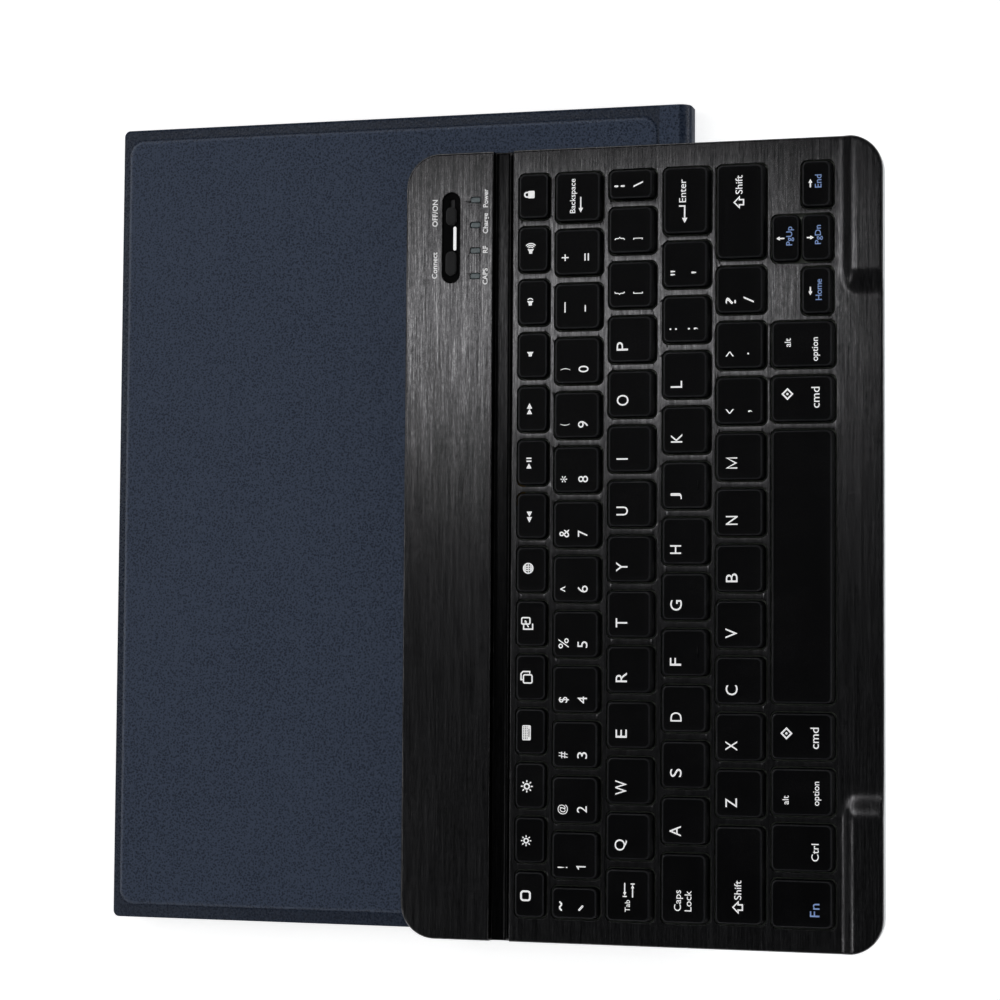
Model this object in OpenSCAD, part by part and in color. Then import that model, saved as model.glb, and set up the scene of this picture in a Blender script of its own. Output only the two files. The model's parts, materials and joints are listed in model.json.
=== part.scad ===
// Tablet keyboard case: a book-style folio for a tablet, and a slim wireless
// keyboard lying on its front cover. Millimetres, +Z up.
// X runs across the folio from its free edge to its spine and on to the
// typist's side of the keyboard. Y runs along the spine, from the Fn key end
// to the Backspace end. Z = 0 is the underside of the closed folio.

/* [Folio] */
// Width across the closed folio, free edge to outside of the spine
folio_w = 188.6; // [186:0.2:192]
// Length along the spine
folio_l = 255.5; // [253:0.5:260]
// Thickness over both raised panels
folio_t = 13; // [12.6:0.1:14]
// Step from the raised panel down to the sealed border
panel_step = 0.8; // [0.5:0.1:1]
// Thickness of the outer skin at the sealed border
skin_t = 1; // [0.8:0.1:1.2]
// Thickness of the inner lining
lining_t = 0.5; // [0.4:0.1:0.6]
// Outside radius of the spine's long edges
spine_r = 3.8; // [3:0.2:4.4]
// X position of the raised panel's edge beside the spine
panel_x1 = 177.8; // [174:0.2:180]
// Sealed border along the free edge
border_x = 2.6; // [2:0.1:4]
// Sealed border along the Backspace end
border_y1 = 4; // [3:0.1:5]
// Sealed border along the Fn end
border_y0 = 4.5; // [3:0.1:5]
// Corner radius of the folio
folio_r = 2; // [1:0.5:5]
// Corner radius of the raised panel
panel_r = 4.5; // [2:0.5:6]

/* [Tablet tray] */
// Tablet length held by the tray
tablet_l = 247.6; // [246:0.2:248]
// Tablet width held by the tray
tablet_w = 178.8; // [177:0.2:179.6]
// Depth of the tray's pocket
tablet_t = 6; // [5.6:0.1:6.2]
// Wall thickness of the tray
tray_wall = 1.3; // [1.1:0.1:1.6]
// Corner radius of the tablet
tablet_r = 9; // [6:0.5:12]
// Side length of the rear camera window
camera_w = 16; // [12:1:20]

/* [Keyboard] */
// Depth of the keyboard, back edge to typist's edge
kb_d = 149.7; // [149.5:0.1:151]
// Length of the keyboard
kb_l = 244.6; // [244.4:0.1:246]
// Corner radius of the keyboard
kb_r = 10.8; // [9:0.2:12]
// X position of the keyboard's back edge on the folio
kb_x = 99.2; // [94:0.2:104]
// How far the keyboard's Fn end passes the folio's edge
kb_past = 2.6; // [0:0.2:6]
// Height of the rubber feet
foot_h = 0.5; // [0.4:0.1:0.8]
// Height of the deck above the underside of the bottom case
deck_z = 5.5; // [5.5:0.1:6]
// Thickness of the deck
deck_t = 1; // [0.9:0.1:1.1]
// Height of the raised front ends above the deck
lip_h = 1.2; // [0.6:0.1:1.5]
// Length of each raised front end
lip_l = 44.3; // [40:0.1:46]
// Width of the tablet groove
groove_w = 6.5; // [6.2:0.1:6.8]
// Distance of the groove from the back edge
groove_v = 28.4; // [28.3:0.1:28.6]
// Depth of the groove below the deck
groove_h = 2.5; // [2:0.1:2.6]

/* [Keys] */
// Height of the keycaps above the deck
key_up = 1.6; // [1:0.1:1.8]
// Key travel
key_travel = 1.5; // [1:0.1:1.5]
// Gap round each keycap in its opening
key_gap = 0.4; // [0.3:0.05:0.45]
// Length of a letter key's top face
key_w = 13.6; // [13:0.1:13.8]
// Pitch of the keys along a row
pitch = 16.85; // [16.8:0.05:16.9]

/* [Hidden] */

// Origin: under the middle of the whole object's box
ox = -(kb_x + kb_d) / 2;
oy = -(folio_l - kb_past) / 2;
kz = folio_t + foot_h;
// Height of the two hinge axes and their X
hinge_x = folio_w - 1;
top_z = folio_t - panel_step;
board_t = 1.2;
under_z = top_z - skin_t - lining_t;
// Level of the back cover's inner face
in_z = panel_step + skin_t + lining_t;
tray_x0 = 2.4;
tray_w = tablet_w + 2 * tray_wall;
tray_l = tablet_l + 2 * tray_wall;
tray_y0 = (folio_l - tray_l) / 2;
tray_floor = 1.2;
tray_z1 = in_z + tray_floor + tablet_t + 0.6;
cam = [14, 226];

navy = [0.16, 0.20, 0.27];
lining_grey = [0.30, 0.31, 0.33];
deck_black = [0.08, 0.08, 0.085];
cap_black = [0.05, 0.05, 0.055];

// A rounded rectangle from corner to corner, with n steps at each corner
function rr(x0, y0, x1, y1, r, n = 6) = concat(
    [for (i = [0:n]) [x1 - r + r * cos(i * 90 / n), y1 - r + r * sin(i * 90 / n)]],
    [for (i = [0:n]) [x0 + r + r * cos(90 + i * 90 / n), y1 - r + r * sin(90 + i * 90 / n)]],
    [for (i = [0:n]) [x0 + r + r * cos(180 + i * 90 / n), y0 + r + r * sin(180 + i * 90 / n)]],
    [for (i = [0:n]) [x1 - r + r * cos(270 + i * 90 / n), y0 + r + r * sin(270 + i * 90 / n)]]);

module slab(x0, y0, x1, y1, z0, z1, r, n = 6)
    translate([0, 0, z0]) linear_extrude(z1 - z0) polygon(rr(x0, y0, x1, y1, r, n));
module block(x0, y0, z0, x1, y1, z1)
    translate([x0, y0, z0]) cube([x1 - x0, y1 - y0, z1 - z0]);
module folio() translate([ox, oy, 0]) children();
module kb() translate([ox + kb_x, oy - kb_past, kz]) children();
// A profile in X and Z, run along Y
module run_y(y0, y1) translate([0, y1, 0]) rotate([90, 0, 0]) linear_extrude(y1 - y0) children();

// ---- Folio ----

// One cover leaf: a sealed border plate with a raised panel over a board pocket
module leaf_skin() difference() {
    union() {
        slab(0, 0, folio_w - spine_r, folio_l, top_z - skin_t, top_z, folio_r);
        slab(border_x, border_y0, panel_x1, folio_l - border_y1, top_z - 0.1, folio_t, panel_r);
    }
    slab(border_x + 0.6, border_y0 + 0.6, panel_x1 - 0.6, folio_l - border_y1 - 0.6,
        top_z - skin_t - 1, folio_t - 0.6, panel_r - 0.6);
}
module board_slab(x0, x1) slab(x0, border_y0 + 0.7, x1, folio_l - border_y1 - 0.7,
    top_z - skin_t, folio_t - 0.6, panel_r - 0.7);
module upside() translate([0, 0, folio_t]) mirror([0, 0, 1]) children();
magnet_y = [60, 190];
module front_cover_skin() color(navy) folio() leaf_skin();
module front_cover_board() color([0.6, 0.55, 0.45]) folio() difference() {
    board_slab(border_x + 0.7, panel_x1 - 0.7);
    for (y = magnet_y) translate([12, y, top_z - skin_t - 1]) cylinder(r = 5.05, h = 4, $fn = 48);
}
module front_cover_lining() color(lining_grey) folio()
    slab(0.3, 0.3, folio_w - spine_r, folio_l - 0.3, under_z, top_z - skin_t, folio_r);
module cover_magnets() color("silver") folio()
    for (y = magnet_y) translate([12, y, top_z - skin_t]) cylinder(r = 5, h = folio_t - 0.6 - top_z + skin_t, $fn = 48);

// Quarter bend of the leather between a leaf and the spine
module bend() intersection() {
    run_y(0.2, folio_l - 0.2) translate([folio_w - spine_r, top_z - spine_r]) difference() {
        circle(r = spine_r, $fn = 64);
        circle(r = spine_r - skin_t, $fn = 64);
    }
    block(folio_w - spine_r, 0, top_z - spine_r, folio_w, folio_l, top_z);
}
module cover_hinge_leather() color(navy) folio() bend();
module back_hinge_leather() color(navy) folio() upside() bend();
module spine_skin() color(navy) folio()
    block(folio_w - skin_t, 0.2, folio_t - top_z + spine_r, folio_w, folio_l - 0.2, top_z - spine_r);
module spine_board() color([0.6, 0.55, 0.45]) folio()
    block(folio_w - skin_t - 0.8, 4, folio_t - top_z + spine_r, folio_w - skin_t, folio_l - 4, top_z - spine_r);

module camera_cut(grow) translate([cam[0], cam[1], -1]) linear_extrude(6)
    polygon(rr(-grow, -camera_w / 2 - grow, camera_w + grow, camera_w / 2 + grow, 3 + grow));
module back_cover_skin() color(navy) folio() difference() {
    upside() leaf_skin();
    camera_cut(0);
}
fold_x = 92;
module back_board_near() color([0.6, 0.55, 0.45]) folio() upside() board_slab(fold_x + 1.5, panel_x1 - 0.7);
module back_board_far() color([0.6, 0.55, 0.45]) folio() difference() {
    upside() board_slab(border_x + 0.7, fold_x - 1.5);
    camera_cut(0);
    for (y = magnet_y) translate([12, y, -1]) cylinder(r = 5.05, h = 4, $fn = 48);
}
module catch_plates() color("silver") folio() upside()
    for (y = magnet_y) translate([12, y, top_z - skin_t]) cylinder(r = 5, h = folio_t - 0.6 - top_z + skin_t, $fn = 48);
module back_cover_lining() color(lining_grey) folio() difference() {
    upside() slab(0.3, 0.3, folio_w - spine_r, folio_l - 0.3, under_z, top_z - skin_t, folio_r);
    camera_cut(0);
}
// Clip-in shell for the tablet, with gaps for its port, speakers and buttons
module tablet_tray() color([0.10, 0.11, 0.13]) folio() difference() {
    slab(tray_x0, tray_y0, tray_x0 + tray_w, tray_y0 + tray_l, in_z, tray_z1, tablet_r + tray_wall, 8);
    slab(tray_x0 + tray_wall, tray_y0 + tray_wall, tray_x0 + tray_wall + tablet_w,
        tray_y0 + tray_wall + tablet_l, in_z + tray_floor, tray_z1 + 1, tablet_r, 8);
    camera_cut(0);
    // charging port gap at the Fn end
    block(tray_x0 + tray_w / 2 - 8, tray_y0 - 1, in_z + 1.6, tray_x0 + tray_w / 2 + 8, tray_y0 + 3, tray_z1 + 1);
    // speaker gaps at both ends
    for (y = [tray_y0 - 1, tray_y0 + tray_l - 3]) for (x = [tray_x0 + 26, tray_x0 + tray_w - 52])
        block(x, y, in_z + 2.2, x + 26, y + 4, tray_z1 + 1);
    // button gap on the free edge
    block(tray_x0 - 1, tray_y0 + 170, in_z + 1.6, tray_x0 + 3, tray_y0 + 214, tray_z1 + 1);
}

// ---- Keyboard ----

// Rows across the keyboard: [face start, face end, opening start, opening end],
// all measured from the back edge
row_fn = [37.4, 46.3, 36.6, 47.1];
row_num = [49.1, 62.7, 48.3, 64.0];
row_up = [66.1, 79.1, 65.3, 80.8];
row_home = [83.1, 96.2, 82.3, 97.8];
row_low = [99.6, 113.3, 98.85, 114.8];
row_bot = [116.5, 134.3, 115.75, 135.7];
row_pgup = [116.5, 124.4, 115.75, 125.2];
row_pgdn = [125.6, 133.7, 124.8, 135.1];

// A key is [row, u of its face's Fn-side edge, length of its face]
k_fn = [for (i = [0:13]) [row_fn, 8.1 + i * 16.53, 13.4]];
k_num = [for (i = [0:11]) [row_num, 20.2 + i * (pitch - 0.05), key_w]];
k_up = [for (i = [0:11]) [row_up, 26.4 + i * (pitch - 0.05), key_w]];
k_home = [for (i = [0:10]) [row_home, 31.45 + i * (pitch + 0.02), key_w]];
k_low = [for (i = [0:9]) [row_low, 39.95 + i * (pitch + 0.02), 13.75]];
k_grave = [row_num, 8.1, 9.0];
k_backspace = [row_num, 221.6, 14.7];
k_tab = [row_up, 7.9, 15.15];
k_backslash = [row_up, 227.95, 8.5];
k_caps = [row_home, 7.9, 20.2];
k_enter = [row_home, 216.6, 19.9];
k_shl = [row_low, 8.15, 28.6];
k_shr = [row_low, 208.4, 28.2];
k_fnkey = [row_bot, 7.7, 13.75];
k_ctrl = [row_bot, 24.45, 13.5];
k_optl = [row_bot, 40.9, 13.5];
k_cmdl = [row_bot, 57.5, 13.4];
k_space = [row_bot, 74.15, 81.4];
k_cmdr = [row_bot, 158.55, 13.3];
k_optr = [row_bot, 175.0, 13.3];
k_homek = [row_pgdn, 191.0, 13.6];
k_pgup = [row_pgup, 207.1, 13.5];
k_pgdn = [row_pgdn, 207.1, 13.5];
k_end = [row_pgdn, 223.35, 13.4];
all_keys = concat(k_fn, k_num, k_up, k_home, k_low, [k_grave, k_backspace, k_tab,
    k_backslash, k_caps, k_enter, k_shl, k_shr, k_fnkey, k_ctrl, k_optl, k_cmdl,
    k_space, k_cmdr, k_optr, k_homek, k_pgup, k_pgdn, k_end]);

side = 0.75;
cap_top = deck_z + key_up;
cap_bot = deck_z - 0.9;
// Keycap: straight skirt to just above the deck, then walls that lean in to the face
module keycap(k) {
    r = k[0]; u0 = k[1]; u1 = k[1] + k[2];
    b0 = r[2] + key_gap; b1 = r[3] - key_gap;
    c0 = u0 - side + key_gap; c1 = u1 + side - key_gap;
    difference() {
        intersection() {
            slab(b0, c0, b1, c1, cap_bot, cap_top, 1.8, 4);
            run_y(c0 - 1, c1 + 1) polygon([[b0, cap_bot], [b1, cap_bot], [b1, deck_z + 0.2],
                [r[1], cap_top], [r[0], cap_top], [b0, deck_z + 0.2]]);
            translate([b0 - 1, 0, 0]) rotate([90, 0, 90]) linear_extrude(b1 - b0 + 2)
                polygon([[c0, cap_bot], [c1, cap_bot], [c1, deck_z + 0.2], [u1, cap_top],
                    [u0, cap_top], [c0, deck_z + 0.2]]);
        }
        block(b0 + 1, c0 + 1, cap_bot - 1, b1 - 1, c1 - 1, cap_top - 1.2);
    }
}
module caps(list) color(cap_black) kb() for (k = list) keycap(k);
module key_opening(k) translate([0, 0, -20]) linear_extrude(40)
    polygon(rr(k[0][2], k[1] - side, k[0][3], k[1] + k[2] + side, 2.1, 3));

screw_at = [for (v = [5, 144.6]) for (u = [12, 122.3, 232.6]) [v, u]];
sw_u = 221.8; sw_l = 5.7; sw_travel = 2.5;
bt_u = 206.0; bt_l = 7.6;
led_u = [229.5, 221.6, 213.6, 205.6];
gv0 = groove_v; gv1 = groove_v + groove_w;
lip_v = 136.6;

// Raised end of the front lip, sloped at its inner end and along its back
module lip_end() intersection() {
    slab(-10, 0, kb_d, 200, deck_z - 0.5, deck_z + lip_h, kb_r, 8);
    run_y(-1, 60) polygon([[lip_v, deck_z - 0.5], [lip_v, deck_z], [lip_v + 4, deck_z + lip_h],
        [kb_d, deck_z + lip_h], [kb_d, deck_z - 0.5]]);
    translate([lip_v - 1, 0, 0]) rotate([90, 0, 90]) linear_extrude(30)
        polygon([[0, deck_z - 0.5], [0, deck_z + lip_h], [lip_l - 3.6, deck_z + lip_h], [lip_l + 3.6, deck_z], [lip_l + 3.6, deck_z - 0.5]]);
}
module keyboard_top_cover() color(deck_black) kb() difference() {
    union() {
        slab(0, 0, kb_d, kb_l, deck_z - deck_t, deck_z, kb_r, 8);
        lip_end();
        translate([0, kb_l, 0]) mirror([0, 1, 0]) lip_end();
        // groove trough, and the floor of the switch recess
        block(gv0 - 0.8, 0.4, deck_z - groove_h - 0.8, gv1 + 0.8, kb_l - 0.4, deck_z - 0.5);
        block(10.7, 202.4, deck_z - deck_t - 0.6, 18.9, 233.4, deck_z - 0.5);
        for (p = screw_at) translate([p[0], p[1], 0.9]) cylinder(r = 2.1, h = deck_z - 1.5, $fn = 32);
    }
    for (k = all_keys) key_opening(k);
    // the two paging keys share one opening
    block(122, k_pgup[1] - side, 0, 128, k_pgup[1] + k_pgup[2] + side, deck_z + 1);
    block(gv0, -1, deck_z - groove_h, gv1, kb_l + 1, deck_z + 1);
    // switch recess, the knob's slot and the button's hole
    slab(11.9, 203.6, 17.7, 232.2, deck_z - 0.8, deck_z + 1, 2.85, 8);
    block(14.0, sw_u - 0.2, 0, 15.7, sw_u + sw_l + sw_travel + 0.2, deck_z);
    slab(12.8, bt_u - 0.2, 16.8, bt_u + bt_l + 0.2, 0, deck_z, 1.9, 6);
    for (u = led_u) block(21.0, u - 0.95, 0, 24.4, u + 0.95, deck_z + 1);
    for (p = screw_at) translate([p[0], p[1], 0]) cylinder(r = 0.7, h = deck_z - 1, $fn = 32);
}
module keyboard_bottom_case() color([0.66, 0.68, 0.70]) kb() difference() {
    slab(0.1, 0.1, kb_d - 0.1, kb_l - 0.1, 0, deck_z - deck_t, kb_r - 0.1, 8);
    slab(1.4, 1.4, kb_d - 1.4, kb_l - 1.4, 0.8, deck_z, kb_r - 1.4, 8);
    // notches at both ends for the groove's trough
    block(gv0 - 0.8, -1, deck_z - groove_h - 0.8, gv1 + 0.8, kb_l + 1, deck_z);
    // charging socket window
    block(15.5, kb_l - 3, 1.3, 23.5, kb_l + 1, 4.1);
    for (p = screw_at) {
        translate([p[0], p[1], -1]) cylinder(r = 0.9, h = 4, $fn = 32);
        translate([p[0], p[1], -1]) cylinder(r = 1.7, h = 1.45, $fn = 32);
    }
}
module key_support_plate() color("silver") kb()
    slab(gv1 + 1.2, 4, 140, kb_l - 4, 0.9, 1.3, 3);
module membrane_sheet() color([0.75, 0.78, 0.72]) kb()
    slab(gv1 + 1.2, 4, 140, kb_l - 4, 1.3, 1.7, 3);
// One dome under each key, a wide key's dome at its middle
module rubber_domes() color([0.55, 0.55, 0.56]) kb() for (k = all_keys)
    translate([(k[0][0] + k[0][1]) / 2, k[1] + k[2] / 2, 1.7]) cylinder(r1 = 2.4, r2 = 1.2, h = cap_top - 1.3 - 1.7, $fn = 32);
// Scissor frames: two hinged links round each dome
module scissor_frames() color([0.2, 0.2, 0.21]) kb() for (k = all_keys)
    translate([(k[0][0] + k[0][1]) / 2, k[1] + k[2] / 2, 1.75]) difference() {
        translate([-3.3, -4.6, 0]) cube([6.6, 9.2, 1.2]);
        translate([-2.5, -3.6, -1]) cube([5, 7.2, 4]);
    }
module main_board() color([0.08, 0.30, 0.18]) kb()
    block(8, 128, 0.9, 27.2, 237.4, 1.7);
module battery() color([0.70, 0.71, 0.73]) kb()
    slab(2.4, 18, 26.6, 116, 0.9, 4.1, 1.2, 4);
// Flat ribbon from the membrane, under the groove, to the main board
module ribbon_tail() color([0.85, 0.70, 0.35]) kb()
    block(20, 134, 1.72, 38.4, 142, 1.85);
module charging_socket() color("silver") kb() difference() {
    block(15.6, kb_l - 7, 1.4, 23.4, kb_l - 0.6, 4.0);
    block(16.1, kb_l - 5, 1.9, 22.9, kb_l, 3.5);
}
module power_switch_body() color([0.75, 0.76, 0.78]) kb()
    block(11.8, sw_u - 1.5, 1.7, 17.8, sw_u + sw_l + sw_travel + 0.5, 3.6);
module power_switch_knob() color([0.16, 0.16, 0.17]) kb() {
    block(14.15, sw_u, 3.65, 15.55, sw_u + sw_l, 4.9);
    slab(13.1, sw_u, 16.5, sw_u + sw_l, 4.75, 5.85, 1.6, 6);
}
module pairing_switch() color([0.75, 0.76, 0.78]) kb()
    block(12.3, 207.3, 1.7, 17.3, 212.3, 3.1);
module pairing_button() color([0.16, 0.16, 0.17]) kb()
    slab(13.0, bt_u, 16.6, bt_u + bt_l, 3.65, 5.75, 1.7, 6);
module switch_bar() color([0.95, 0.95, 0.95]) kb()
    slab(15.35, 214.1, 16.3, 221.4, 4.7, 4.86, 0.4, 4);
module status_leds() color([0.95, 0.95, 0.85]) kb() for (u = led_u)
    block(21.6, u - 0.8, 1.7, 23.8, u + 0.8, 2.5);
module status_windows() color([0.45, 0.49, 0.50]) kb() for (u = led_u)
    block(21.05, u - 0.9, 3.2, 24.35, u + 0.9, deck_z);
module groove_magnets() color("silver") kb() for (u = [40, 92, 150, 200])
    block(gv0 + 0.8, u, 0.9, gv1 - 0.8, u + 14, deck_z - groove_h - 0.85);
module keyboard_screws() color("silver") kb() for (p = screw_at) translate([p[0], p[1], 0]) {
    translate([0, 0, 0.05]) difference() {
        cylinder(r = 1.5, h = 0.4, $fn = 32);
        translate([-1, -0.2, -1]) cube([2, 0.4, 1.2]);
    }
    translate([0, 0, 0.4]) cylinder(r = 0.62, h = 3.4, $fn = 32);
}
module keyboard_feet() color([0.1, 0.1, 0.1]) kb() for (v = [14, 72, 134]) for (u = [14, 230.6])
    translate([v, u, -foot_h]) cylinder(r = 4, h = foot_h, $fn = 48);

module keys_function_row() caps(k_fn);
module keys_number_row() caps(k_num);
module keys_upper_row() caps(k_up);
module keys_home_row() caps(k_home);
module keys_lower_row() caps(k_low);
module key_grave() caps([k_grave]);
module key_backspace() caps([k_backspace]);
module key_tab() caps([k_tab]);
module key_backslash() caps([k_backslash]);
module key_caps_lock() caps([k_caps]);
module key_enter() caps([k_enter]);
module key_shift_left() caps([k_shl]);
module key_shift_right() caps([k_shr]);
module key_fn() caps([k_fnkey]);
module key_ctrl() caps([k_ctrl]);
module key_option_left() caps([k_optl]);
module key_command_left() caps([k_cmdl]);
module key_space() caps([k_space]);
module key_command_right() caps([k_cmdr]);
module key_option_right() caps([k_optr]);
module key_home() caps([k_homek]);
module key_page_up() caps([k_pgup]);
module key_page_down() caps([k_pgdn]);
module key_end() caps([k_end]);

front_cover_skin();
front_cover_board();
front_cover_lining();
cover_hinge_leather();
spine_skin();
spine_board();
back_hinge_leather();
back_cover_skin();
back_board_near();
back_board_far();
back_cover_lining();
tablet_tray();
cover_magnets();
catch_plates();
keyboard_top_cover();
keyboard_bottom_case();
key_support_plate();
membrane_sheet();
rubber_domes();
scissor_frames();
main_board();
battery();
ribbon_tail();
charging_socket();
power_switch_body();
power_switch_knob();
pairing_switch();
pairing_button();
status_leds();
status_windows();
switch_bar();
groove_magnets();
keyboard_screws();
keyboard_feet();
keys_function_row();
keys_number_row();
keys_upper_row();
keys_home_row();
keys_lower_row();
key_grave();
key_backspace();
key_tab();
key_backslash();
key_caps_lock();
key_enter();
key_shift_left();
key_shift_right();
key_fn();
key_ctrl();
key_option_left();
key_command_left();
key_space();
key_command_right();
key_option_right();
key_home();
key_page_up();
key_page_down();
key_end();
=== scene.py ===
import json
import math

import bmesh
import bpy
import numpy as np
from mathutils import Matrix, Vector
from mathutils.geometry import delaunay_2d_cdt

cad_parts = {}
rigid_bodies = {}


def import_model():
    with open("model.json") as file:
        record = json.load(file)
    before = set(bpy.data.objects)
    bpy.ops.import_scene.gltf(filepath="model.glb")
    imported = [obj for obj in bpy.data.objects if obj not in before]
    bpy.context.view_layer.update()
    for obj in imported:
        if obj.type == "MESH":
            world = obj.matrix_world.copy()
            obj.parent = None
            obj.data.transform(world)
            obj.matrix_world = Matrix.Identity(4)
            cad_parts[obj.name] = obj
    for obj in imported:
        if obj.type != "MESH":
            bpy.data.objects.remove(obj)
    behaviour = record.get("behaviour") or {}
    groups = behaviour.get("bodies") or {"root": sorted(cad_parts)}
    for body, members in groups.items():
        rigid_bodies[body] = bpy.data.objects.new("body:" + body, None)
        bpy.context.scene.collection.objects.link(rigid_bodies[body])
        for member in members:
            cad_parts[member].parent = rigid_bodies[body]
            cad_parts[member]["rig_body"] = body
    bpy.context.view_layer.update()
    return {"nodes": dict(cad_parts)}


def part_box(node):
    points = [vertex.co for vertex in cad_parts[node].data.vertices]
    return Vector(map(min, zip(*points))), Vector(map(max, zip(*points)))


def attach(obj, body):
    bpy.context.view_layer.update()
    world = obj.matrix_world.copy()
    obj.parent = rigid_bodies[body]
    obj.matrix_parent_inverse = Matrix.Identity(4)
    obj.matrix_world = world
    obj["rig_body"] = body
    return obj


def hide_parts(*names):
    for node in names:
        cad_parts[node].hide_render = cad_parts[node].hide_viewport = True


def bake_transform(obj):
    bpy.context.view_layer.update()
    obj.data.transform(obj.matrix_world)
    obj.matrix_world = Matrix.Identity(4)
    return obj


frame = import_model()
NODES = frame["nodes"]
MM = 0.001
SCENE = bpy.context.scene


# ---------------------------------------------------------------- frame data
def box_mm(node):
    lo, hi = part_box(node)
    return np.array(lo) / MM, np.array(hi) / MM


F_LO, F_HI = box_mm("front_cover_skin")
FX, FY = F_LO[0], F_LO[1]                    # folio: x = 0, y = 0
FOLIO_L = F_HI[1] - F_LO[1]
LEAF_X = F_HI[0] - F_LO[0]                   # end of the flat leaf
Z_TOP = F_HI[2]                              # top of the raised panel
SP_LO, SP_HI = box_mm("spine_skin")
K_LO, K_HI = box_mm("keyboard_top_cover")
KX, KY = K_LO[0], K_LO[1]                    # keyboard: v = 0, u = 0
KB_D, KB_L = K_HI[0] - KX, K_HI[1] - KY
KZ = box_mm("keyboard_bottom_case")[0][2]    # underside of the case
DECK = 5.5                                   # deck top above the underside
DECK_T = 1.0


# ---------------------------------------------------------------- mesh tools
class MB:
    """Collects vertices (mm) and faces."""

    def __init__(self):
        self.v, self.f, self.m = [], [], []

    def add(self, p):
        self.v.append((float(p[0]), float(p[1]), float(p[2])))
        return len(self.v) - 1

    def ring(self, pts):
        return [self.add(p) for p in pts]

    def face(self, idx, mat=0):
        self.f.append(tuple(idx))
        self.m.append(mat)

    def bridge(self, a, b, closed=True, mat=0):
        n = len(a)
        for i in range(n if closed else n - 1):
            j = (i + 1) % n
            self.face((a[i], a[j], b[j], b[i]), mat)

    def rings(self, list_of_pts, closed=True, mat=0):
        out = [self.ring(p) for p in list_of_pts]
        for a, b in zip(out, out[1:]):
            self.bridge(a, b, closed, mat)
        return out

    def fill(self, outer, holes=(), zf=None, extra=(), lines=()):
        """Triangles between an outer loop and holes, all given as vertex ids."""
        pts, ids, edges, where = [], [], [], {}
        for loop in [outer, *holes]:
            s = len(pts)
            for i in loop:
                where[i] = len(pts)
                pts.append(Vector(self.v[i][:2]))
                ids.append(i)
            n = len(loop)
            edges += [(s + k, s + (k + 1) % n) for k in range(n)]
        for a, b in lines:
            edges.append((where[a], where[b]))
        for p in extra:
            pts.append(Vector(p))
            ids.append(None)
        ov, _, of, src, _, _ = delaunay_2d_cdt(pts, edges, [], 0, 1e-7)
        new = []
        for co, s in zip(ov, src):
            known = [ids[k] for k in s if ids[k] is not None]
            new.append(known[0] if known else self.add((co[0], co[1], zf(co[0], co[1]))))
        tri = np.array([list(t) for t in of])
        co = np.array([[p[0], p[1]] for p in ov])
        cen = co[tri].mean(1)
        keep = inside(np.array([self.v[i][:2] for i in outer]), cen)
        for h in holes:
            keep &= ~inside(np.array([self.v[i][:2] for i in h]), cen)
        for t in tri[keep]:
            self.face([new[k] for k in t])


def inside(poly, pts):
    """Which points lie in a polygon."""
    got = np.zeros(len(pts), bool)
    lo, hi = poly.min(0), poly.max(0)
    near = np.where(((pts >= lo) & (pts <= hi)).all(1))[0]
    if not len(near):
        return got
    x, y = pts[near, 0], pts[near, 1]
    c = np.zeros(len(near), bool)
    j = len(poly) - 1
    for i in range(len(poly)):
        (xi, yi), (xj, yj) = poly[i], poly[j]
        if yi != yj:
            c ^= ((yi > y) != (yj > y)) & (x < (xj - xi) * (y - yi) / (yj - yi) + xi)
        j = i
    got[near] = c
    return got


def rr(x0, y0, x1, y1, r, n=8, ex=(), ey=()):
    """Rounded rectangle, counter-clockwise, with extra points on its straight sides."""
    r = max(min(r, (x1 - x0) / 2 - 1e-4, (y1 - y0) / 2 - 1e-4), 1e-4)
    pts = []

    def arc(cx, cy, a0):
        for i in range(n + 1):
            a = math.radians(a0 + 90 * i / n)
            pts.append((cx + r * math.cos(a), cy + r * math.sin(a)))

    arc(x1 - r, y1 - r, 0)
    pts.extend((x, y1) for x in sorted(ex, reverse=True))
    arc(x0 + r, y1 - r, 90)
    pts.extend((x0, y) for y in sorted(ey, reverse=True))
    arc(x0 + r, y0 + r, 180)
    pts.extend((x, y0) for x in sorted(ex))
    arc(x1 - r, y0 + r, 270)
    pts.extend((x1, y) for y in sorted(ey))
    return pts


def make(name, mb, mats, origin=(0, 0, 0), angle=38, merge=0.0, weighted=True):
    """Turns mm data into an object, with outward normals and smooth shading below the angle."""
    me = bpy.data.meshes.new(name)
    o = np.array(origin, float)
    me.from_pydata([tuple((np.array(p) + o) * MM) for p in mb.v], [], mb.f)
    for mt in mats:
        me.materials.append(mt)
    me.polygons.foreach_set("material_index", mb.m)
    return tidy(name, me, angle, merge, weighted)


def tidy(name, me, angle=38, merge=0.0, weighted=True):
    bm = bmesh.new()
    bm.from_mesh(me)
    if merge:
        bmesh.ops.remove_doubles(bm, verts=bm.verts, dist=merge * MM)
    loose = [v for v in bm.verts if not v.link_faces]
    if loose:
        bmesh.ops.delete(bm, geom=loose, context="VERTS")
    bmesh.ops.recalc_face_normals(bm, faces=bm.faces)
    lim = math.radians(angle)
    for f in bm.faces:
        f.smooth = True
    for e in bm.edges:
        e.smooth = not (len(e.link_faces) == 2 and e.calc_face_angle(0.0) > lim)
    bm.to_mesh(me)
    bm.free()
    ob = bpy.data.objects.new(name, me)
    SCENE.collection.objects.link(ob)
    if weighted:
        w = ob.modifiers.new("weighted", "WEIGHTED_NORMAL")
        w.keep_sharp = True
        w.weight = 60
    return ob


def apply_mods(ob):
    """Puts the modifiers' result in the mesh."""
    dg = bpy.context.evaluated_depsgraph_get()
    me = bpy.data.meshes.new_from_object(ob.evaluated_get(dg))
    ob.modifiers.clear()
    ob.data = me
    return ob


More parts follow.
